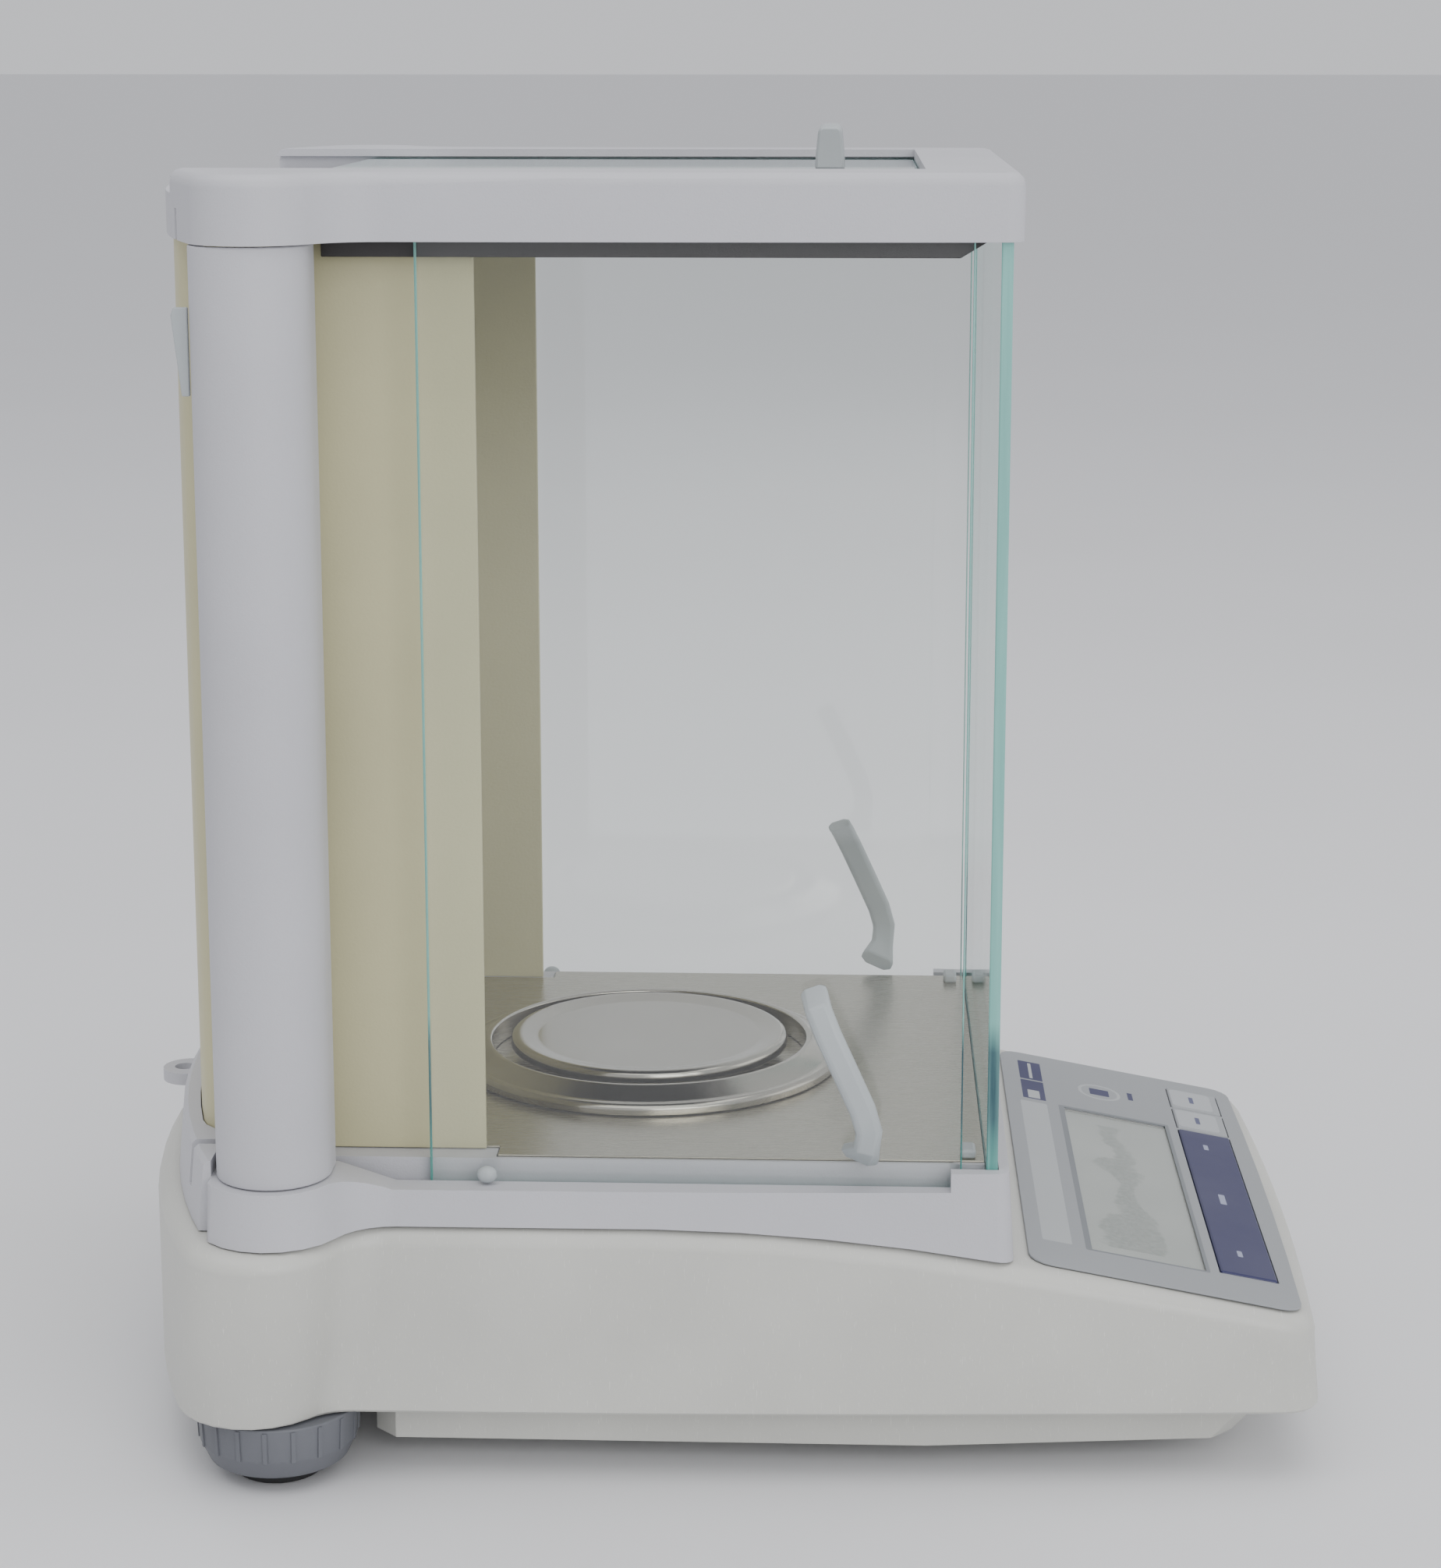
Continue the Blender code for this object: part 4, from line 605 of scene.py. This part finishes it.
def rib_tree():
    tree = bpy.data.node_groups.new("ribbed knob", "GeometryNodeTree")
    tree.interface.new_socket(name="Geometry", in_out="INPUT", socket_type="NodeSocketGeometry")
    new_input(tree, "Ribs", "NodeSocketInt", 18)
    new_input(tree, "Radius", "NodeSocketFloat", 0.02)
    new_input(tree, "Lean", "NodeSocketFloat", 0.1)
    new_input(tree, "Rib size", "NodeSocketVector", (0.001, 0.001, 0.01))
    new_input(tree, "Middle", "NodeSocketVector", (0.0, 0.0, 0.0))
    tree.interface.new_socket(name="Material", in_out="INPUT", socket_type="NodeSocketMaterial")
    tree.interface.new_socket(name="Geometry", in_out="OUTPUT", socket_type="NodeSocketGeometry")
    source = add(tree, "NodeGroupInput").outputs
    circle = add(tree, "GeometryNodeMeshCircle", {
        "Vertices": source["Ribs"], "Radius": source["Radius"],
    })
    rib = add(tree, "GeometryNodeMeshCube", {"Size": source["Rib size"]})
    place = add(tree, "GeometryNodeInputIndex").outputs[0]
    step = math_node(tree, "DIVIDE", 2 * math.pi, source["Ribs"])
    facing = math_node(tree, "MULTIPLY", place, step)
    turn = add(tree, "ShaderNodeCombineXYZ", {1: source["Lean"], 2: facing})
    round_on = add(tree, "GeometryNodeInstanceOnPoints", {
        "Points": circle.outputs["Mesh"],
        "Instance": rib.outputs["Mesh"],
        "Rotation": turn.outputs[0],
    })
    moved = add(tree, "GeometryNodeTransform", {
        "Geometry": round_on.outputs[0], "Translation": source["Middle"],
    })
    real = add(tree, "GeometryNodeRealizeInstances", {0: moved.outputs[0]})
    both = add(tree, "GeometryNodeJoinGeometry")
    tree.links.new(real.outputs[0], both.inputs[0])
    tree.links.new(source["Geometry"], both.inputs[0])
    painted = add(tree, "GeometryNodeSetMaterial", {
        0: both.outputs[0], "Material": source["Material"],
    })
    add(tree, "NodeGroupOutput", {0: painted.outputs[0]})
    return tree


def set_inputs(modifier, **values):
    tree = modifier.node_group
    for item in tree.interface.items_tree:
        key = item.name.replace(" ", "_")
        if item.item_type == "SOCKET" and item.in_out == "INPUT" and key in values:
            modifier[item.identifier] = values[key]


RIB_TREE = rib_tree()
for side in ("left", "right"):
    low, high = (Vector(corner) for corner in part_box(side + "_foot_wheel"))
    middle, R = (low + high) / 2, (high.x - low.x) / 2
    B, TOP = 0.0042, 0.0194
    drum = turned_piece(side + "_knurled_wheel", rounded([
        (0.0, B + 0.0004), (R - 0.0058, B + 0.0004), (R - 0.0050, B), (R - 0.0034, B + 0.0008),
        (R - 0.0010, B + 0.0060), (R - 0.0005, TOP), (0.0080, TOP), (0.0039, TOP + 0.0010),
        (0.0039, high.z - 0.0006), (0.0033, high.z), (0.0, high.z),
    ], 0.0006), middle, FINISH["foot_plastic"], 96)
    modifier = drum.modifiers.new("ribs", "NODES")
    modifier.node_group = RIB_TREE
    set_inputs(modifier, Ribs=18, Radius=R - 0.0010, Lean=0.05, Rib_size=(0.0012, 0.0012, 0.0086),
               Middle=(middle.x, middle.y, (B + TOP) / 2 + 0.0026), Material=FINISH["foot_plastic"])
    settle(drum)
    keep(drum, side + "_foot_wheel")
    print(side, "wheel faces:", len(drum.data.polygons))
# %% [markdown]
# ## The display panel
#
# The panel is one printed foil on a slope. Its print is drawn with box masks in the object's
# own metres. The masks use X and Y, which the slope leaves almost unchanged.
# %% Printed foil
foil_low, foil_high = (Vector(corner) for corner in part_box("keypad_foil"))
PALE_PRINT, DARK_PRINT = srgb(172, 175, 176), srgb(26, 28, 80)
PRINTS = [  # left, right, front, rear, corner, colour
    (-0.0745, 0.0440, -0.0942, -0.0862, 0.0006, PALE_PRINT),
    (0.0470, 0.0650, -0.0942, -0.0872, 0.0003, DARK_PRINT),
    (0.0660, 0.0840, -0.0942, -0.0872, 0.0003, DARK_PRINT),
    (0.0480, 0.0555, -0.0925, -0.0889, 0.0002, PALE_PRINT),
    (0.0675, 0.0825, -0.0912, -0.0902, 0.0002, PALE_PRINT),
    (0.0590, 0.0730, -0.1182, -0.1052, 0.0064, PALE_PRINT),
    (0.0600, 0.0720, -0.1172, -0.1062, 0.0054, srgb(150, 153, 156)),
    (0.0630, 0.0690, -0.1147, -0.1087, 0.0004, DARK_PRINT),
    (0.0640, 0.0710, -0.1222, -0.1206, 0.0002, DARK_PRINT),
    (-0.0762, 0.0461, -0.1312, -0.0978, 0.0008, srgb(118, 122, 126)),
]


def printed(name, base, prints, rough=0.38):
    material, tree, shader, place = start_material(name)
    mask = use_group(tree, patches, place, Patches_per_metre=22.0)
    shade = mix_colour(tree, mask, scaled(base, 0.95), base)
    for left, right, front, rear, corner, colour in prints:
        sides = {"Left": left, "Right": right, "Front": front, "Rear": rear, "Corner": corner}
        inside = use_group(tree, box_mask, place, **sides)
        shade = mix_colour(tree, inside, shade, colour)
    tree.links.new(shade, shader.inputs["Base Color"])
    value = ramp(tree, mask, 0.0, 1.0, rough - 0.05, rough + 0.07)
    tree.links.new(value, shader.inputs["Roughness"])
    height = use_group(tree, moulded, place, Grain_per_metre=2600.0)
    raise_normal(tree, shader, height, 0.12, 0.0001)
    return material


FINISH["panel_foil"] = printed("printed_foil", srgb(150, 153, 156), PRINTS)
refined("keypad_foil", 0.00012)
label = srgb(150, 155, 180)
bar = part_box("tare_bar")
bar_y = (bar[0][1] + bar[1][1]) / 2
LABELS = [(-0.058, 0.0022, 0.0007), (-0.015, 0.0040, 0.0009), (0.030, 0.0022, 0.0007)]
MARKS = [(x - w, x + w, bar_y - h, bar_y + h, 0.0003, label) for x, w, h in LABELS]
refined("tare_bar", 0.0003, material=printed("printed_bar", DARK_PRINT, MARKS, 0.34))
for node in ("menu_key", "print_key"):
    low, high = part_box(node)
    x = (low[0] + high[0]) / 2
    key_marks = [
        (low[0] + 0.0016, high[0] - 0.0016, low[1] + 0.0022, high[1] - 0.0022, 0.0018,
         srgb(172, 175, 178)),
        (x - 0.0030, x + 0.0030, bar_y - 0.0007, bar_y + 0.0007, 0.0002, srgb(70, 74, 110)),
    ]
    refined(node, 0.0003, material=printed("printed_" + node, srgb(158, 161, 164), key_marks))
print("foil prints:", len(PRINTS), "bar marks:", len(MARKS))
# %% [markdown]
# The display is off. Under its window lies a grey-green glass cell with a darker blot.
# %% Display
lcd_low, lcd_high = (Vector(corner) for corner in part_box("display_window"))
foil_points = [vert.co for vert in NODES["keypad_foil"].data.vertices]
near_rear = max((co for co in foil_points if co.y > foil_high.y - 0.002), key=lambda co: co.z)
near_front = max((co for co in foil_points if co.y < foil_low.y + 0.004), key=lambda co: co.z)
SLOPE = (near_rear.z - near_front.z) / (near_rear.y - near_front.y)


def panel_plate(name, left, right, front, rear, top, thick, material):
    """A thin plate that lies on the panel's slope, its top this far above the foil."""
    bm = bmesh.new()
    bmesh.ops.create_cube(bm, size=1.0)
    for vert in bm.verts:
        x = right if vert.co.x > 0 else left
        y = rear if vert.co.y > 0 else front
        z = near_rear.z + (y - near_rear.y) * SLOPE + top
        vert.co = (x, y, z if vert.co.z > 0 else z - thick)
    width = min(0.00015, thick / 3)
    bmesh.ops.bevel(bm, geom=list(bm.edges), offset=width, segments=2, affect="EDGES")
    bmesh.ops.recalc_face_normals(bm, faces=bm.faces)
    mesh = bpy.data.meshes.new(name)
    bm.to_mesh(mesh)
    bm.free()
    return link_piece(name, mesh, material)


material, tree, shader, place = start_material("display_cell")
mask = use_group(tree, patches, place, Patches_per_metre=30.0)
shade = mix_colour(tree, mask, srgb(162, 165, 158), srgb(178, 180, 172))
wander = noise(tree, place, 60.0, 5.0)
parts = add(tree, "ShaderNodeSeparateXYZ", {0: place})
sway = math_node(tree, "SUBTRACT", wander, 0.5)
bend = math_node(tree, "MULTIPLY_ADD", sway, 0.022, parts.outputs[1])
foot = math_node(tree, "MAXIMUM", math_node(tree, "SUBTRACT", -0.036, parts.outputs[0]), 0.0)
away = math_node(tree, "ABSOLUTE", math_node(tree, "ADD", bend, 0.1125))
width = math_node(tree, "MULTIPLY_ADD", foot, 0.22, 0.0028)
shape = ramp(tree, math_node(tree, "SUBTRACT", away, width), 0.0012, -0.0002)
BLOT = {"Left": -0.068, "Right": 0.036, "Front": -0.126, "Rear": -0.102, "Corner": 0.004}
ends = use_group(tree, box_mask, place, **BLOT)
speck = ramp(tree, noise(tree, place, 700.0, 3.0), 0.35, 0.6, 0.45, 0.9)
inside = math_node(tree, "MULTIPLY", math_node(tree, "MULTIPLY", shape, ends), speck)
shade = mix_colour(tree, inside, shade, srgb(112, 120, 108))
tree.links.new(shade, shader.inputs["Base Color"])
shader.inputs["Roughness"].default_value = 0.3
shader.inputs["Coat Weight"].default_value = 0.5
LCD = (lcd_low.x, lcd_high.x, lcd_low.y, lcd_high.y)
cell = panel_plate("display_cell", *LCD, -0.0009, 0.0040, material)
keep(cell, "lcd_module")
window = pane_face("display_pane", (0.95, 0.96, 0.955, 1.0))
sheet = panel_plate("display_sheet", *LCD, -0.0002, 0.0005, window)
keep(sheet, "display_window")
print("display", round((lcd_high.x - lcd_low.x) * 1000, 1), "mm wide, slope", round(SLOPE, 3))
# %% [markdown]
# ## Everything that stays as CAD
#
# The parts inside the base keep their CAD shape and take the new materials.
# %% Materials for the rest
made_over = [o.name for o in bpy.data.objects if o.name.startswith(("fine_", "pane_"))]
done = {name.split("_", 1)[1] for name in made_over}
done |= {"weighing_pan", "draft_ring", "lcd_module", "display_window"}
done |= {"left_foot_wheel", "right_foot_wheel"}
rest = sorted(set(NODES) - done)
for node in rest:
    for slot in NODES[node].material_slots:
        slot.material = FINISH[SLOT_OF[node]]
print("kept:", ", ".join(rest))
# %% [markdown]
# ## The room
#
# A pale table, a pale grey world colour around it, and large soft lamps over and beside the object.
# %% Stage and light


def plane(name, corners, material):
    mesh = bpy.data.meshes.new(name)
    mesh.from_pydata(corners, [], [(0, 1, 2, 3)])
    made = link_piece(name, mesh, material)
    return made


TABLE = surface("table", srgb(226, 226, 228), 0.6, bump=0.05, tone=0.01, patch=3.0)
plane("table_top", [(-40, -40, 0), (40, -40, 0), (40, 40, 0), (-40, 40, 0)], TABLE)


def lamp(name, place, target, size, watts, colour=(1.0, 1.0, 1.0)):
    light = bpy.data.lights.new(name, "AREA")
    light.shape = "RECTANGLE"
    light.size, light.size_y = size
    light.energy = watts
    light.color = colour
    made = bpy.data.objects.new(name, light)
    made.location = place
    made.rotation_euler = (Vector(target) - Vector(place)).to_track_quat("-Z", "Y").to_euler()
    bpy.context.scene.collection.objects.link(made)


lamp("ceiling", (-0.3, 0.1, 1.9), (0.0, 0.0, 0.1), (2.2, 2.2), 24.0)
lamp("near_window", (-2.0, -0.9, 1.0), (0.0, 0.0, 0.2), (1.6, 1.4), 22.0)
lamp("front_fill", (0.3, -2.0, 0.9), (0.0, 0.0, 0.2), (1.4, 1.2), 5.0, (1.0, 0.98, 0.96))
world = bpy.data.worlds.new("room")
world.use_nodes = True
world.node_tree.nodes["Background"].inputs["Color"].default_value = srgb(214, 215, 219)
world.node_tree.nodes["Background"].inputs["Strength"].default_value = 1.1
bpy.context.scene.world = world
